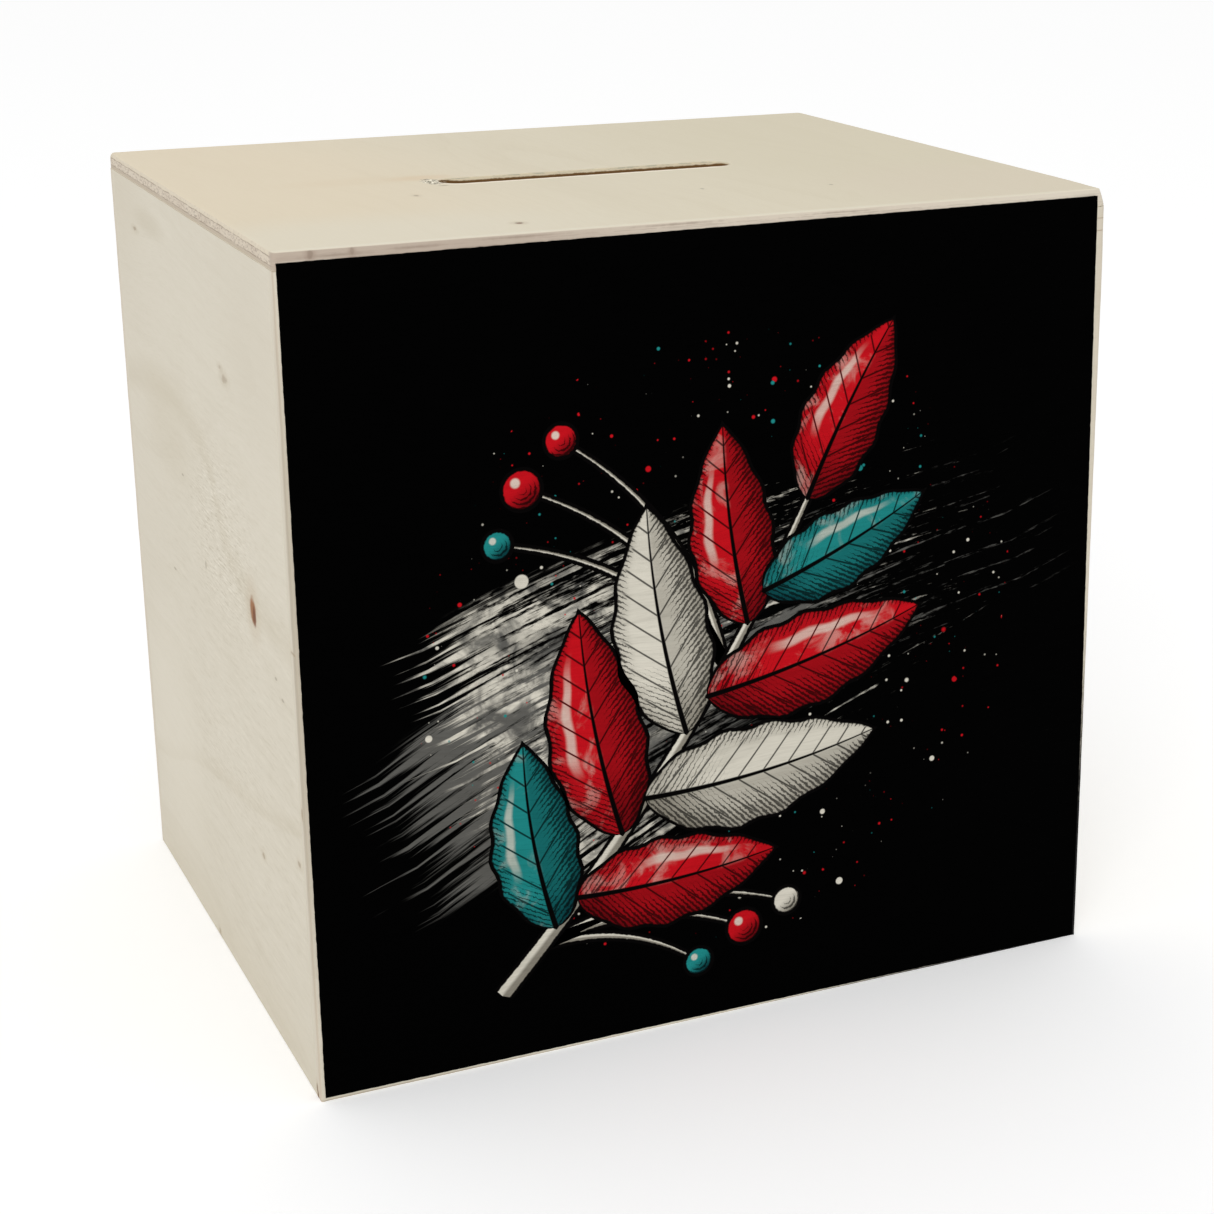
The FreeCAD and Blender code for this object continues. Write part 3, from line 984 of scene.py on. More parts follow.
placeBoard("frontWall", "front_panel", "-Y", wallLoops(21.0, True), frontSettings)
placeBoard("backWall", "back_panel", "+Y", wallLoops(23.0, True), backSettings)
placeBoard("leftWall", "left_side_panel", "-X", wallLoops(25.0, False), leftSettings)
placeBoard("rightWall", "right_side_panel", "+X", wallLoops(27.0, False), rightSettings)
print("walls made")


# Torn fibres at the slot's left end

slotFibres = {
    "count": 44,
    "from": math.radians(118),  # stretch of the slot's round end that is torn
    "to": math.radians(240),
    "length": (0.3 * mm, 1.0 * mm),
    "thick": (0.1 * mm, 0.26 * mm),
    "below": (0.16 * mm, 0.9 * mm),  # how far under the top face they start
    "rootDepth": 0.6 * mm,
    "lean": 1.1,  # greatest turn along the rim, as a slope
    "droop": 0.35,  # greatest sag, as a share of the length
    "seed": 5,
    "pale": srgb(236, 228, 209),
    "dark": srgb(168, 152, 124),
}


def addSplinter(shape, start, run, thick, droop):
    # One tapering splinter with a square section, bent down towards its tip
    rings = []
    side = run.cross(Vector((0, 0, 1))).normalized()
    for part, width in ((0.0, 1.0), (0.45, 0.75), (0.8, 0.4)):
        middle = start + run * part - Vector((0, 0, droop * part * part))
        rings.append([
            shape.verts.new(middle + thick * width / 2 * (side * a + Vector((0, 0, b))))
            for a, b in ((-1, -1), (1, -1), (1, 1), (-1, 1))
        ])
    tip = shape.verts.new(start + run - Vector((0, 0, droop)))
    shape.faces.new(rings[0])
    for ring, above in zip(rings, rings[1:]):
        bridge(shape, ring, above)
    last = rings[-1]
    for here, there in zip(last, last[1:] + last[:1]):
        shape.faces.new((here, there, tip))


def makeSlotFibres():
    chance = random.Random(slotFibres["seed"])
    radius = topSheet["slotWidth"] / 2
    middle = Vector((radius - topSheet["slotLength"] / 2, topLow.y + topSheet["slotFromFront"], topHigh.z))
    shape = bmesh.new()
    for number in range(slotFibres["count"]):
        share = (number + chance.random()) / slotFibres["count"]
        angle = slotFibres["from"] + share * (slotFibres["to"] - slotFibres["from"])
        rim = Vector((math.cos(angle), math.sin(angle), 0))
        lean = Vector((-rim.y, rim.x, 0)) * chance.uniform(-slotFibres["lean"], slotFibres["lean"])
        start = middle + rim * (radius + slotFibres["rootDepth"])
        start.z -= chance.uniform(*slotFibres["below"])
        length = slotFibres["rootDepth"] + chance.uniform(*slotFibres["length"])
        run = (lean - rim).normalized() * length
        thick = chance.uniform(*slotFibres["thick"])
        addSplinter(shape, start, run, thick, chance.uniform(0.0, slotFibres["droop"]) * length)
    return finishMesh(shape, "slotFibres")


def fibreMaterial():
    material, tree, shader = startMaterial("slotFibreWood", boardFinish["specular"])
    inMm = inMillimetres(tree, objectPlace(tree))
    tone = noiseAt(tree, inMm, (0.8, 1.3, 1.3), 3.0, 0.65)
    shade = softStep(tree, tone, 0.45, 0.62)
    feed(tree, shader.inputs["Base Color"], mixColor(tree, shade, slotFibres["pale"], slotFibres["dark"]))
    feed(tree, shader.inputs["Roughness"], remap(tree, tone, 0.3, 0.7, 0.7, 0.85))
    return material


fibrePiece = makeSlotFibres()
dress(fibrePiece, fibreMaterial())
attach(fibrePiece, "box")
print("slot fibres made")


# Hidden woodwork: base, rails and battens keep their shape and get a finish

baseSettings = {
    **leftSettings,
    "axes": "XYZ",
    "faces": [corner.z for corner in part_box("base_panel")],
    "seed": 19.0,
    "growthLines": [],
    "marks": [
        markAt((38.0, 26.0), (1.9, 1.3), knotBrown, face=0),
        markAt((-44.0, -22.0), (1.4, 0.6), knotFaint, face=0),
    ],
}
dress(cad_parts["base_panel"], boardMaterial("basePanelWood", baseSettings))

stripWood = {
    "pale": srgb(216, 194, 154),
    "dark": srgb(170, 128, 84),
    "contrast": 1.1,
    "specular": 0.25,
    "relief": 0.2,
    "reliefDepth": 0.15 * mm,
    "seed": 31.0,
    # axes along, across and through the grain, by how a node's name starts
    "axes": {
        "corner_batten": "ZXY",
        "base_rail_front": "XYZ",
        "base_rail_back": "XYZ",
        "base_rail_left": "YXZ",
        "base_rail_right": "YXZ",
    },
}


def stripMaterial(name, axes, seed):
    # Planed softwood with its grain along the strip
    material, tree, shader = startMaterial(name, stripWood["specular"])
    split = splitAxes(tree, objectPlace(tree))
    grain = joinAxes(tree, *(split["XYZ".index(letter)] for letter in axes))
    figure = useGroup(
        tree, veneerFigure, Grain=grain, Seed=seed, Pale=stripWood["pale"], Dark=stripWood["dark"],
        Contrast=stripWood["contrast"],
    )
    relief = (figure["Height"], stripWood["relief"], stripWood["reliefDepth"])
    finishSurface(tree, shader, figure["Color"], figure["Rough"], *relief)
    return material


for number, (node, piece) in enumerate(sorted(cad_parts.items())):
    for start, axes in stripWood["axes"].items():
        if node.startswith(start):
            dress(piece, stripMaterial(f"{node}Wood", axes, stripWood["seed"] + number))


# Stopper: soft black plastic with a fine moulded grain

stopperPlastic = {
    "deep": srgb(20, 20, 21),
    "worn": srgb(46, 46, 47),
    "grain": 2.6,  # per mm
    "specular": 0.4,
    "relief": 0.25,
    "reliefDepth": 0.05 * mm,
}


def stopperMaterial():
    material, tree, shader = startMaterial("stopperPlastic", stopperPlastic["specular"])
    inMm = inMillimetres(tree, objectPlace(tree))
    grain = noiseAt(tree, inMm, (stopperPlastic["grain"],) * 3, 2.0, 0.6)
    scuff = softStep(tree, noiseAt(tree, inMm, (0.22, 0.9, 0.22), 4.0, 0.65), 0.52, 0.72)
    color = mixColor(tree, scuff, stopperPlastic["deep"], stopperPlastic["worn"])
    rough = remap(tree, grain, 0.3, 0.7, 0.42, 0.6)
    relief = (grain, stopperPlastic["relief"], stopperPlastic["reliefDepth"])
    finishSurface(tree, shader, color, rough, *relief)
    return material


dress(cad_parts["base_stopper"], stopperMaterial())
print("woodwork and stopper dressed")


# Front print: a leaf spray in ink and wash on black, over dry brush strokes
# Places are in mm on the front, across and up

inkTones = {
    "black": srgb(1, 1, 1),
    "outline": srgb(6, 5, 5),
    "red": (srgb(188, 18, 28), srgb(96, 8, 14)),
    "ivory": (srgb(212, 207, 193), srgb(136, 131, 119)),
    "teal": (srgb(32, 132, 130), srgb(9, 58, 62)),
    "smoke": srgb(92, 91, 87),
}
inkFilm = {
    # how far the film stops inside its node, at the corners
    "topLeft": (0.0 * mm, 0.78 * mm),
    "topRight": (1.25 * mm, 0.14 * mm),
    "bottomLeft": (0.2 * mm, 0.42 * mm),
    "bottomRight": (0.0 * mm, 0.0 * mm),
    "straight": 46 * mm,  # height where the right side starts to lean
    "ragged": 0.09 * mm,
    "raggedPitch": 0.9 * mm,
    "seed": 41.0,
    "lift": 0.05 * mm,
    "step": 0.8 * mm,
    "specular": 0.008,
    "relief": 0.12,
    "reliefDepth": 0.1 * mm,
}


def makeInkOverGrain():
    # The wood's grain shows through the ink, in its tone and its relief
    group, entry, leave = startGroup(
        "inkOverGrain",
        [("Place", "Vector", (0, 0, 0)), ("Ink", "Color", (0, 0, 0, 1))],
        [("Color", "Color"), ("Rough", "Float"), ("Height", "Float")],
    )
    split = splitAxes(group, entry["Place"])
    grain = joinAxes(group, split[0], split[2], split[1])
    figure = useGroup(
        group, veneerFigure, Grain=grain, Seed=frontSettings["seed"], Pale=(1, 1, 1, 1),
        Dark=(0.52, 0.52, 0.5, 1), Contrast=0.8, Bands=0.2,
    )
    feed(group, leave["Color"], mixColor(group, 1.0, entry["Ink"], figure["Color"], "MULTIPLY"))
    feed(group, leave["Rough"], figure["Rough"])
    feed(group, leave["Height"], figure["Height"])
    return group


def makeDryBrush():
    # A broad stroke that runs dry: bristle streaks along it, ragged ends
    group, entry, leave = startGroup(
        "dryBrush",
        [
            ("Place", "Vector", (0, 0, 0)),
            ("Root", "Vector", (0, 0, 0)),
            ("Turn", "Float", 0.0),
            ("Length", "Float", 30.0),
            ("Width", "Float", 12.0),
            ("Bend", "Float", 0.0),
            ("Dryness", "Float", 0.3),
        ],
        [("Mask", "Float")],
    )
    rel = vecCalc(group, "SUBTRACT", entry["Place"], entry["Root"])
    turning = {"Vector": rel, "Angle": entry["Turn"]}
    turned = putNode(group, "ShaderNodeVectorRotate", turning, rotation_type="Y_AXIS").outputs[0]
    split = splitAxes(group, turned)
    share = calc(group, "DIVIDE", split[0], entry["Length"])
    held = calc(group, "MAXIMUM", calc(group, "MINIMUM", share, 1.0), 0.0)
    arch = product(group, held, minus(group, 1.0, held), entry["Bend"], entry["Length"])
    off = minus(group, split[2], arch)

    spot = joinAxes(group, split[0], off)
    bristle = noiseAt(group, spot, (0.018, 0.75, 1.0), 4.0, 0.62)
    fleck = noiseAt(group, spot, (0.35, 1.4, 1.0), 3.0, 0.65)
    jag = product(group, minus(group, bristle, 0.5), 0.75)
    start = softStep(group, total(group, share, jag), 0.02, 0.09)
    finish = softStep(group, minus(group, share, jag), 1.0, 0.86)
    edge = calc(group, "DIVIDE", product(group, calc(group, "ABSOLUTE", off), 2.0), entry["Width"])
    edge = softStep(group, total(group, edge, jag), 1.0, 0.9)
    dry = total(group, entry["Dryness"], product(group, held, 0.2))
    load = total(group, product(group, bristle, 0.7), product(group, fleck, 0.3))
    wet = softStep(group, minus(group, load, dry), 0.0, 0.09)
    feed(group, leave["Mask"], product(group, wet, start, finish, edge))
    return group


drawnInputs = [
    ("Along", "Float", 0.0),
    ("Off", "Float", 0.0),
    ("Inset", "Float", 1.0),
    ("Share", "Float", 0.5),
    ("Grit", "Float", 0.0),
    ("Light", "Color", (1, 1, 1, 1)),
    ("Shade", "Color", (0, 0, 0, 1)),
]


def makeLeafDrawing():
    # One drawn leaf: outline, midrib, veins, hatching on its shaded half, a wash and a highlight
    inputs = drawnInputs + [("Wash", "Float", 0.5)]
    group, entry, leave = startGroup("leafDrawing", inputs, [("Color", "Color")])
    along, off, share = entry["Along"], entry["Off"], entry["Share"]
    side = calc(group, "ABSOLUTE", off)
    half = total(group, entry["Inset"], side)
    inset = total(group, entry["Inset"], product(group, entry["Grit"], 0.16))
    across = calc(group, "DIVIDE", side, calc(group, "MAXIMUM", half, 0.1))
    lower = softStep(group, off, 0.5, -0.7)
    upper = minus(group, 1.0, lower)

    # Tone: darker below the rib, at the rim and at the root
    rimTone = product(group, softStep(group, across, 0.5, 1.0), 0.35)
    rootTone = product(group, softStep(group, share, 0.32, 0.0), 0.45)
    depth = calc(group, "ADD", total(group, product(group, lower, 0.5), rimTone), rootTone, clamp=True)
    color = mixColor(group, depth, entry["Light"], entry["Shade"])
    pool = product(group, softStep(group, entry["Wash"], 0.5, 0.66), upper)
    color = layOver(group, color, inkTones["ivory"][0], pool, 0.3)

    # Hatching that follows the veins, wider where the tone is darker
    sweep = minus(group, along, product(group, side, 0.8))
    sweep = total(group, sweep, product(group, entry["Grit"], 0.35))
    ripple = calc(group, "FRACT", product(group, sweep, 0.95))
    ripple = product(group, calc(group, "ABSOLUTE", minus(group, ripple, 0.5)), 2.0)
    amount = product(group, lower, softStep(group, across, 0.05, 0.8), 0.62)
    rimAmount = product(group, upper, softStep(group, across, 0.6, 1.0), 0.5)
    rootAmount = product(group, softStep(group, share, 0.45, 0.05), 0.4)
    amount = calc(group, "MAXIMUM", calc(group, "MAXIMUM", amount, rimAmount), rootAmount)
    hatch = product(group, softStep(group, total(group, ripple, amount), 0.98, 1.16), 0.8)

    # Veins and midrib
    course = minus(group, along, product(group, side, 1.05))
    course = calc(group, "FRACT", product(group, course, 0.2))
    apart = product(group, calc(group, "ABSOLUTE", minus(group, course, 0.5)), 5.0)
    vein = product(group, softStep(group, apart, 0.34, 0.12), softStep(group, across, 0.95, 0.72))
    ribHalf = minus(group, 0.52, product(group, share, 0.42))
    rib = softStep(group, minus(group, side, ribHalf), 0.12, -0.1)
    dark = calc(group, "MAXIMUM", calc(group, "MAXIMUM", hatch, product(group, vein, 0.85)), rib)
    color = mixColor(group, dark, color, inkTones["outline"])

    # Highlight along the upper half, broken by the veins
    gloss = softStep(group, calc(group, "ABSOLUTE", minus(group, across, 0.56)), 0.15, 0.05)
    gloss = product(group, gloss, upper, minus(group, 1.0, vein))
    for low, high in ((0.28, 0.42), (0.86, 0.66)):
        gloss = product(group, gloss, softStep(group, share, low, high))
    color = layOver(group, color, inkTones["ivory"][0], gloss, 0.6)
    body = softStep(group, inset, 0.0, 0.3)
    feed(group, leave["Color"], mixColor(group, body, inkTones["outline"], color))
    return group


def makeStemDrawing():
    # A stem with a lit upper edge
    group, entry, leave = startGroup("stemDrawing", drawnInputs, [("Color", "Color")])
    half = total(group, entry["Inset"], calc(group, "ABSOLUTE", entry["Off"]))
    lit = calc(group, "DIVIDE", entry["Off"], calc(group, "MAXIMUM", half, 0.1))
    color = mixColor(group, softStep(group, lit, -0.25, 0.35), entry["Shade"], entry["Light"])
    inset = total(group, entry["Inset"], product(group, entry["Grit"], 0.12))
    body = softStep(group, inset, 0.0, 0.2)
    feed(group, leave["Color"], mixColor(group, body, inkTones["outline"], color))
    return group


def makeBerryDrawing():
    # A round berry with a shaded, hatched side and a small highlight; along and off run from its middle
    group, entry, leave = startGroup("berryDrawing", drawnInputs, [("Color", "Color")])
    rel = joinAxes(group, entry["Along"], entry["Off"])
    out = vecCalc(group, "LENGTH", rel)
    radius = total(group, entry["Inset"], out)
    lean = calc(group, "DIVIDE", vecCalc(group, "DOT_PRODUCT", rel, (0.6, -0.8, 0.0)), radius)
    shade = softStep(group, lean, -0.3, 0.9)
    color = mixColor(group, shade, entry["Light"], entry["Shade"])
    ripple = total(group, product(group, out, 1.25), product(group, entry["Grit"], 0.3))
    ripple = calc(group, "ABSOLUTE", minus(group, calc(group, "FRACT", ripple), 0.5))
    ripple = product(group, ripple, 2.0)
    hatch = softStep(group, total(group, ripple, product(group, shade, 0.7)), 1.0, 1.2)
    color = layOver(group, color, inkTones["outline"], hatch, 0.8)
    spot = joinAxes(group, *(calc(group, "DIVIDE", entry[name], radius) for name in ("Along", "Off")))
    shine = softStep(group, vecCalc(group, "DISTANCE", spot, (-0.34, 0.38, 0.0)), 0.32, 0.18)
    color = layOver(group, color, inkTones["ivory"][0], shine, 0.8)
    inset = total(group, entry["Inset"], product(group, entry["Grit"], 0.14))
    body = softStep(group, inset, 0.0, 0.25)
    feed(group, leave["Color"], mixColor(group, body, inkTones["outline"], color))
    return group


inkOverGrain = makeInkOverGrain()
dryBrush = makeDryBrush()
drawings = {"leaf": makeLeafDrawing(), "stem": makeStemDrawing(), "berry": makeBerryDrawing()}


def startInk(name):
    # Also gives the place on the object, and the place on the front in mm
    material, tree, shader = startMaterial(name, inkFilm["specular"])
    place = objectPlace(tree)
    return material, tree, shader, place, vecCalc(tree, "MULTIPLY", place, (1000, 0, 1000))


def washAt(tree, flat):
    # Blotches of a thin wash
    return noiseAt(tree, flat, (0.13, 1.0, 0.13), 5.0, 0.6, 0.8)


def finishInk(tree, shader, place, ink):
    film = useGroup(tree, inkOverGrain, Place=place, Ink=ink)
    relief = (film["Height"], inkFilm["relief"], inkFilm["reliefDepth"])
    finishSurface(tree, shader, film["Color"], film["Rough"], *relief)


# Ground of the print: black, with dry strokes and specks

brushes = [
    # root, turn, length, width, bend, dryness, tone
    ((-58.0, 44.0), 20, 122.0, 34.0, 0.18, 0.38, inkTones["smoke"]),
    ((-50.0, 62.0), 14, 106.0, 40.0, 0.14, 0.42, inkTones["ivory"][0]),
    ((-30.0, 34.0), 24, 84.0, 15.0, 0.1, 0.44, inkTones["ivory"][0]),
]
specks = {
    "centre": (1.0, 70.0),
    "reach": (68.0, 42.0),
    # cells per mm, largest radius, least draw that shows
    "layers": [(0.11, 1.6, 0.4), (0.3, 0.7, 0.42), (0.7, 0.3, 0.34)],
}


def groundMaterial():
    material, tree, shader, place, flat = startInk("printGround")
    thinned = softStep(tree, washAt(tree, flat), 0.36, 0.62)
    color = inkTones["black"]
    for root, turn, length, width, bend, dryness, tone in brushes:
        stroke = useGroup(
            tree, dryBrush, Place=flat, Root=(root[0], 0, root[1]), Turn=math.radians(turn), Length=length,
            Width=width, Bend=bend, Dryness=dryness,
        )
        paint = mixColor(tree, thinned, inkTones["smoke"], tone)
        color = mixColor(tree, stroke["Mask"], color, paint)

    # Specks, fewer away from the spray
    away = vecCalc(tree, "DISTANCE", flat, (specks["centre"][0], 0, specks["centre"][1]))
    close = softStep(tree, away, *specks["reach"])
    for cells, largest, leastDraw in specks["layers"]:
        grid = putNode(tree, "ShaderNodeTexVoronoi", {"Vector": flat, "Scale": cells})
        draw = putNode(tree, "ShaderNodeSeparateColor", {"Color": grid.outputs["Color"]}).outputs
        radius = product(tree, calc(tree, "POWER", draw[0], 2.5), largest)
        out = minus(tree, calc(tree, "DIVIDE", grid.outputs["Distance"], cells), radius)
        shown = calc(tree, "GREATER_THAN", product(tree, draw[1], close), leastDraw)
        dot = product(tree, softStep(tree, out, 0.1, -0.1), shown)
        paint = inkTones["red"][0]
        for least, tone in ((0.5, "ivory"), (0.82, "teal")):
            paint = mixColor(tree, calc(tree, "GREATER_THAN", draw[2], least), paint, inkTones[tone][0])
        color = mixColor(tree, dot, color, paint)
    finishInk(tree, shader, place, color)
    return material


def makeInkFilm():
    # Thin film on the front, its edges a little ragged where the ink ends
    low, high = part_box("front_print")
    sides = {"left": (low.x, 1), "right": (high.x, -1), "bottom": (low.z, 1), "top": (high.z, -1)}

    def corner(name, upright, level):
        pairs = zip((upright, level), inkFilm[name])
        return Vector([sides[side][0] + sides[side][1] * inset for side, inset in pairs])

    corners = [
        corner("bottomLeft", "left", "bottom"),
        corner("bottomRight", "right", "bottom"),
        Vector((high.x - inkFilm["bottomRight"][0], inkFilm["straight"])),
        corner("topRight", "right", "top"),
        corner("topLeft", "left", "top"),
    ]
    points = spread(corners, inkFilm["step"])
    ragged = unevenness(inkFilm["seed"], inkFilm["ragged"], inkFilm["raggedPitch"])
    shape = bmesh.new()
    rings = []
    for depth in (high.y, high.y - inkFilm["lift"]):
        ring = []
        for index, point in enumerate(points):
            spot = point + intoWood(points, index, False) * ragged(point)
            ring.append(shape.verts.new((spot.x, depth, spot.y)))
        rings.append(ring)
        shape.faces.new(ring)
    bridge(shape, *rings)
    return finishMesh(shape, "frontPrint")


printPiece = makeInkFilm()
dress(printPiece, groundMaterial())
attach(printPiece, "box")
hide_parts("front_print")
print("print ground made")


# Leaf spray: thin plates of ink over the ground, each vertex carrying its place in the drawing

spray = {
    "root": (-42.0, 13.0),
    "turn": math.radians(55),
    "length": 104.0,
    "width": 2.8,
    "bend": -0.16,
    # share along the stem, side, angle from the stem, length, width, bend, tone; drawn in this order
    "leaves": [
        (0.14, 1, 50, 35, 15, 0.14, "teal"),
        (0.20, -1, 46, 38, 16, -0.12, "red"),
        (0.33, 1, 48, 42, 17, 0.12, "red"),
        (0.40, -1, 46, 45, 18, -0.14, "ivory"),
        (0.53, 1, 44, 42, 17, 0.12, "ivory"),
        (0.60, -1, 42, 43, 17, -0.12, "red"),
        (0.74, 1, 38, 36, 15, 0.1, "red"),
        (0.80, -1, 36, 34, 14, -0.1, "teal"),
        (0.97, 1, -2, 34, 15, 0.08, "red"),
    ],
    # share along the stem, where the berry hangs, its radius and tone
    "berries": [
        (0.66, (-36.0, 103.0), 3.3, "red"),
        (0.66, (-29.0, 110.5), 2.7, "red"),
        (0.66, (-40.5, 94.0), 2.4, "teal"),
        (0.10, (4.0, 16.5), 3.2, "red"),
        (0.10, (12.5, 20.0), 2.5, "ivory"),
        (0.10, (-5.0, 11.5), 2.5, "teal"),
    ],
    "twigWidth": 1.3,
    "twigBend": 0.42,
    "taper": 0.35,  # share of a stem's width that is gone on each side at its tip
    "outline": 0.6,
    "outlineEnds": (0.8, 1.6),  # how far it reaches past root and tip, in outlines
    "strokeEnd": 0.05,  # half widths where a plate ends
    "berryEnd": 0.04,
    "swell": (1.37, 0.62, 0.86),  # a leaf's fullness, and how fast it grows and narrows
    "wave": 0.05,  # share by which a leaf's edge swings in and out
    "waveTurn": 31,  # radians of that swing over the leaf
    "columns": [-1, -0.9, -0.7, -0.5, -0.25, 0, 0.25, 0.5, 0.7, 0.9, 1],
    "rows": 40,
    # how far each layer stands off the wood, in mm
    "under": 0.03,
    "twigLift": 0.057,
    "berryLift": 0.062,
    "stemLift": 0.072,
    "leafLifts": (0.082, 0.092),
}
sprayTones = ("red", "ivory", "teal")
inkSlots = [("leaf", tone) for tone in sprayTones]
inkSlots.append(("stem", "ivory"))
inkSlots += [("berry", tone) for tone in sprayTones]


def strokePoint(stroke, along, off):
    # A place on the front, from a place along and across a bent stroke
    share = min(1.0, max(0.0, along / stroke["length"]))
    off += stroke["bend"] * stroke["length"] * share * (1 - share)
    run = Vector((math.cos(stroke["turn"]), math.sin(stroke["turn"])))
    return Vector(stroke["root"]) + run * along + Vector((-run.y, run.x)) * off


def strokeRows(stroke, halfWidth):
    # Rows of (place, (along, off, inset), share), with a band outside the shape for its outline
    band = spray["outline"]
    before, after = spray["outlineEnds"]
    stops = [(-before * band, 0.0, spray["strokeEnd"])]
    for part in range(spray["rows"] + 1):
        share = 0.5 - 0.5 * math.cos(math.pi * part / spray["rows"])
        half = halfWidth(share)
        stops.append((share * stroke["length"], half, half + band))
    stops.append((stroke["length"] + after * band, 0.0, spray["strokeEnd"]))
    rows = []
    for along, half, reach in stops:
        row = []
        for column in spray["columns"]:
            off = column * reach
            inset = half - abs(off) if half > 0 else -band
            share = min(1.0, max(0.0, along / stroke["length"]))
            row.append((strokePoint(stroke, along, off), (along, off, inset), share))
        rows.append(row)
    return rows


def leafHalf(width, phase):
    # Broadest before the middle, drawn out to a point, with a slightly wavy edge
    def half(share):
        full, grows, narrows = spray["swell"]
        swell = full * width * share ** grows * (1 - share) ** narrows
        return swell * (1 + spray["wave"] * math.sin(spray["waveTurn"] * share + phase))

    return half


def stemHalf(width):
    return lambda share: width * (0.5 - spray["taper"] * share)


def berryRows(centre, radius):
    reach = radius + spray["outline"]
    rows = []
    for part in range(spray["rows"] + 1):
        angle = math.pi * part / spray["rows"]
        along = -reach * math.cos(angle)
        half = max(reach * math.sin(angle), spray["berryEnd"])
        row = []
        for column in spray["columns"]:
            off = column * half
            spot = Vector(centre) + Vector((along, off))
            row.append((spot, (along, off, radius - math.hypot(along, off)), 0.5))
        rows.append(row)
    return rows


def addPlate(shape, rows, lift, inkSlot):
    # A closed thin plate: a front at its lift, and a back under the ground's own surface
    drawn = shape.verts.layers.float_vector["drawn"]
    shareOf = shape.verts.layers.float["share"]
    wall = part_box("front_print")[1].y
    faces, rims = [], []
    for height in (lift, spray["under"]):
        sheet = []
        for row in rows:
            line = []
            for spot, values, share in row:
                vert = shape.verts.new((spot.x * mm, wall - height * mm, spot.y * mm))
                vert[drawn] = values
                vert[shareOf] = share
                line.append(vert)
            sheet.append(line)
        for line, above in zip(sheet, sheet[1:]):
            for index in range(len(line) - 1):
                corners = (line[index], line[index + 1], above[index + 1], above[index])
                faces.append(shape.faces.new(corners))
        right = [line[-1] for line in sheet[1:-1]]
        left = [line[0] for line in sheet[1:-1]]
        rims.append(sheet[0] + right + sheet[-1][::-1] + left[::-1])
    for face in faces + bridge(shape, *rims):
        face.material_index = inkSlots.index(inkSlot)


def makeSpray():
    shape = bmesh.new()
    shape.verts.layers.float_vector.new("drawn")
    shape.verts.layers.float.new("share")
    for share, spot, radius, tone in spray["berries"]:
        start = strokePoint(spray, share * spray["length"], 0)
        run = Vector(spot) - start
        twig = {
            "root": start,
            "turn": math.atan2(run.y, run.x),
            "length": run.length,
            "bend": math.copysign(spray["twigBend"], run.x),
        }
        twigRows = strokeRows(twig, stemHalf(spray["twigWidth"]))
        addPlate(shape, twigRows, spray["twigLift"], ("stem", "ivory"))
        addPlate(shape, berryRows(spot, radius), spray["berryLift"], ("berry", tone))
    addPlate(shape, strokeRows(spray, stemHalf(spray["width"])), spray["stemLift"], ("stem", "ivory"))
    for number, (share, side, angle, length, width, bend, tone) in enumerate(spray["leaves"]):
        leaf = {
            "root": strokePoint(spray, share * spray["length"], 0),
            "turn": spray["turn"] + math.atan(spray["bend"] * (1 - 2 * share)) + side * math.radians(angle),
            "length": length,
            "bend": bend,
        }
        lift = spray["leafLifts"][number % 2]
        addPlate(shape, strokeRows(leaf, leafHalf(width, number)), lift, ("leaf", tone))
    return finishMesh(shape, "printSpray")


def sprayMaterial(kind, tone):
    material, tree, shader, place, flat = startInk(f"{kind}Ink{tone.title()}")
    drawn = putNode(tree, "ShaderNodeAttribute", attribute_name="drawn").outputs["Vector"]
    split = splitAxes(tree, drawn)
    share = putNode(tree, "ShaderNodeAttribute", attribute_name="share").outputs["Fac"]
    grit = remap(tree, noiseAt(tree, flat, (1.1, 1.0, 1.1), 3.0, 0.7), 0.25, 0.75, -1, 1)
    links = {"Along": split[0], "Off": split[1], "Inset": split[2], "Share": share, "Grit": grit}
    links["Light"], links["Shade"] = inkTones[tone]
    if kind == "leaf":
        links["Wash"] = washAt(tree, flat)
    finishInk(tree, shader, place, useGroup(tree, drawings[kind], **links)["Color"])
    return material


sprayPiece = makeSpray()
for kind, tone in inkSlots:
    sprayPiece.data.materials.append(sprayMaterial(kind, tone))
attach(sprayPiece, "box")
print("leaf spray made")


# Floor, light and camera

studio = {
    "floorHalf": 12.0,
    "floorColor": (0.97, 0.97, 0.97, 1),
    "floorGlow": 0.16,  # seen only directly, so that the paper reads as white
    "dome": 0.83,
    "keyPower": 7.5,
    "keySize": 0.9,
    "keyFrom": (-0.875, -1.26, 0.91),
}


def seenDirectly(tree):
    rays = putNode(tree, "ShaderNodeLightPath").outputs
    seen = calc(tree, "MAXIMUM", rays["Is Camera Ray"], rays["Is Glossy Ray"])
    return calc(tree, "MAXIMUM", seen, rays["Is Transmission Ray"])


def makeFloor():
    shape = bmesh.new()
    half = studio["floorHalf"]
    corners = ((-half, -half, 0), (half, -half, 0), (half, half, 0), (-half, half, 0))
    shape.faces.new([shape.verts.new(corner) for corner in corners])
    floor = finishMesh(shape, "floor")
    material, tree, shader = startMaterial("floorPaper", 0.0)
    shader.inputs["Base Color"].default_value = studio["floorColor"]
    shader.inputs["Roughness"].default_value = 1.0
    shader.inputs["Emission Color"].default_value = (1, 1, 1, 1)
    glow = product(tree, seenDirectly(tree), studio["floorGlow"])
    feed(tree, shader.inputs["Emission Strength"], glow)
    dress(floor, material)


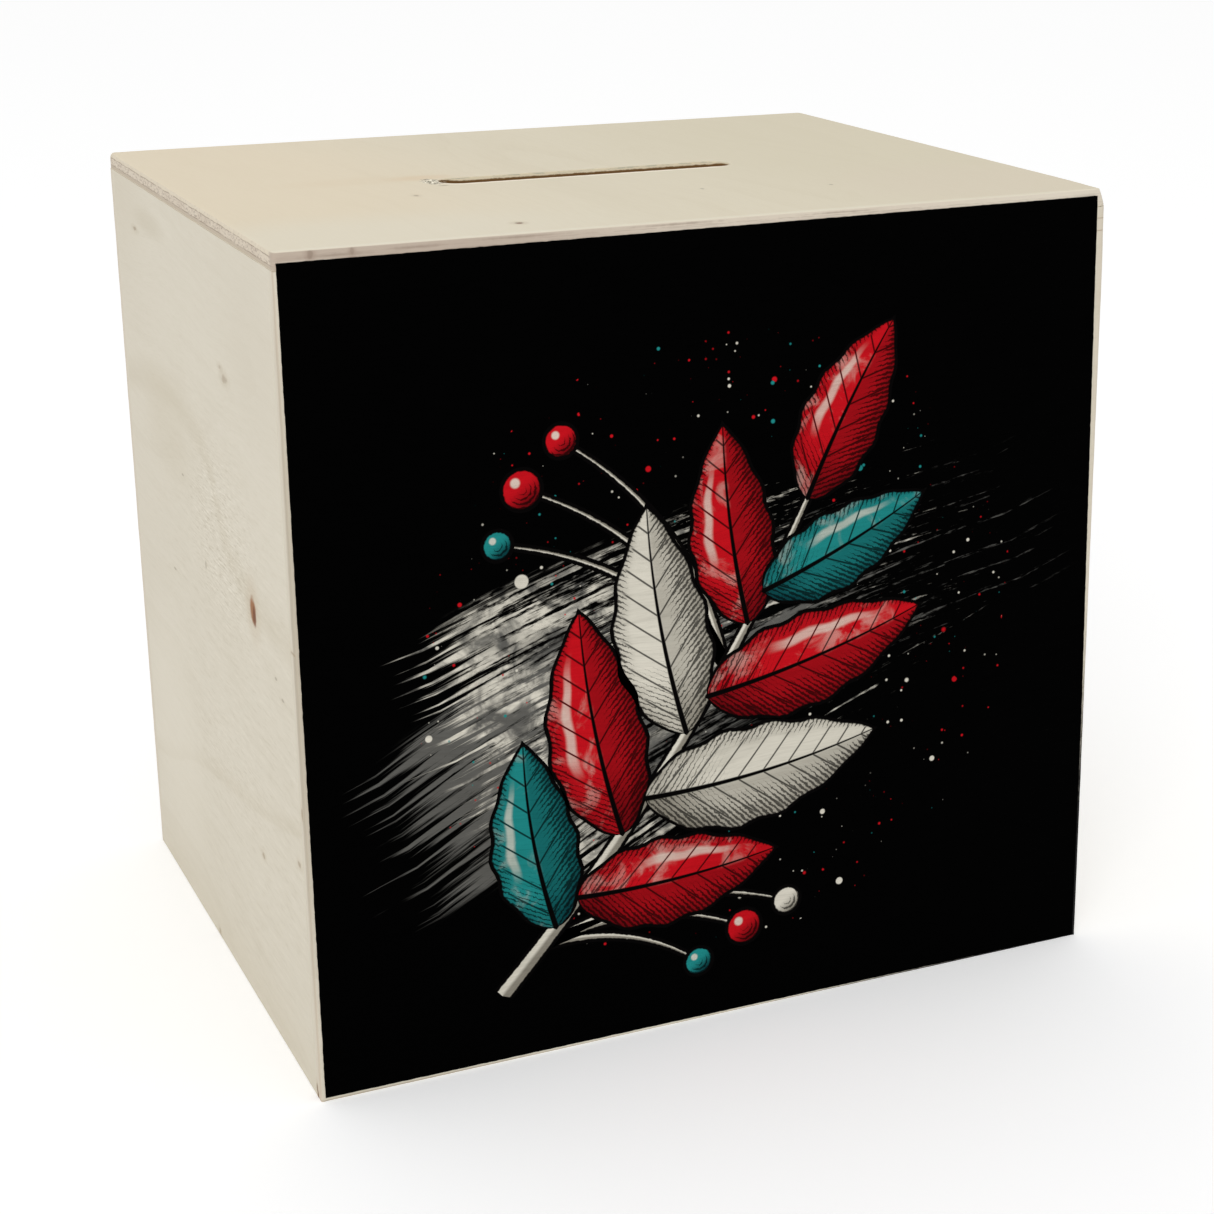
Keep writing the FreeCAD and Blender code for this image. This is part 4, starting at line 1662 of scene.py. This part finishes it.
def makeWorld():
    world = bpy.data.worlds.new("studioDome")
    world.use_nodes = True
    bpy.context.scene.world = world
    tree = world.node_tree
    glow = tree.nodes["Background"]
    glow.inputs["Color"].default_value = (1, 1, 1, 1)
    feed(tree, glow.inputs["Strength"], remap(tree, seenDirectly(tree), 0, 1, studio["dome"], 1.0))


def makeKey():
    lamp = bpy.data.lights.new("softKey", "AREA")
    lamp.shape = "DISK"
    lamp.size = studio["keySize"]
    lamp.energy = studio["keyPower"]
    key = bpy.data.objects.new("softKey", lamp)
    key.location = studio["keyFrom"]
    aim = Vector((0, 0, cadBox[1][2] / 2)) - key.location
    key.rotation_euler = aim.to_track_quat("-Z", "Y").to_euler()
    bpy.context.scene.collection.objects.link(key)


view = {
    "azimuth": -25.57,  # angles in degrees
    "elevation": 17.4,
    "roll": 0.07,
    "distance": 477 * mm,
    "aside": 33.06 * mm,
    "raised": -4.44 * mm,
    "lens": 72.73,
    "sensor": 36.0,
    "shift": (-0.1273, -0.0336),
    "clip": (0.01, 60),
}


def makeCamera():
    azimuth, elevation, roll = (math.radians(view[name]) for name in ("azimuth", "elevation", "roll"))
    level = Vector((math.cos(azimuth), math.sin(azimuth), 0))
    away = Vector((math.sin(azimuth), -math.cos(azimuth), 0))
    back = away * math.cos(elevation) + Vector((0, 0, math.sin(elevation)))
    rise = back.cross(level)
    right = math.cos(roll) * level + math.sin(roll) * rise
    up = back.cross(right)
    lens = bpy.data.cameras.new("photoView")
    lens.lens = view["lens"]
    lens.sensor_width = view["sensor"]
    lens.sensor_fit = "HORIZONTAL"
    lens.shift_x, lens.shift_y = view["shift"]
    lens.clip_start, lens.clip_end = view["clip"]
    camera = bpy.data.objects.new("photoView", lens)
    middle = Vector((0, 0, cadBox[1][2] / 2))
    spot = middle + back * view["distance"] + right * view["aside"] + up * view["raised"]
    turn = Matrix((right, up, back)).transposed().to_4x4()
    camera.matrix_world = Matrix.Translation(spot) @ turn
    bpy.context.scene.collection.objects.link(camera)
    bpy.context.scene.camera = camera


makeFloor()
makeWorld()
makeKey()
makeCamera()
bpy.context.scene.view_settings.view_transform = "Standard"
print("studio ready")
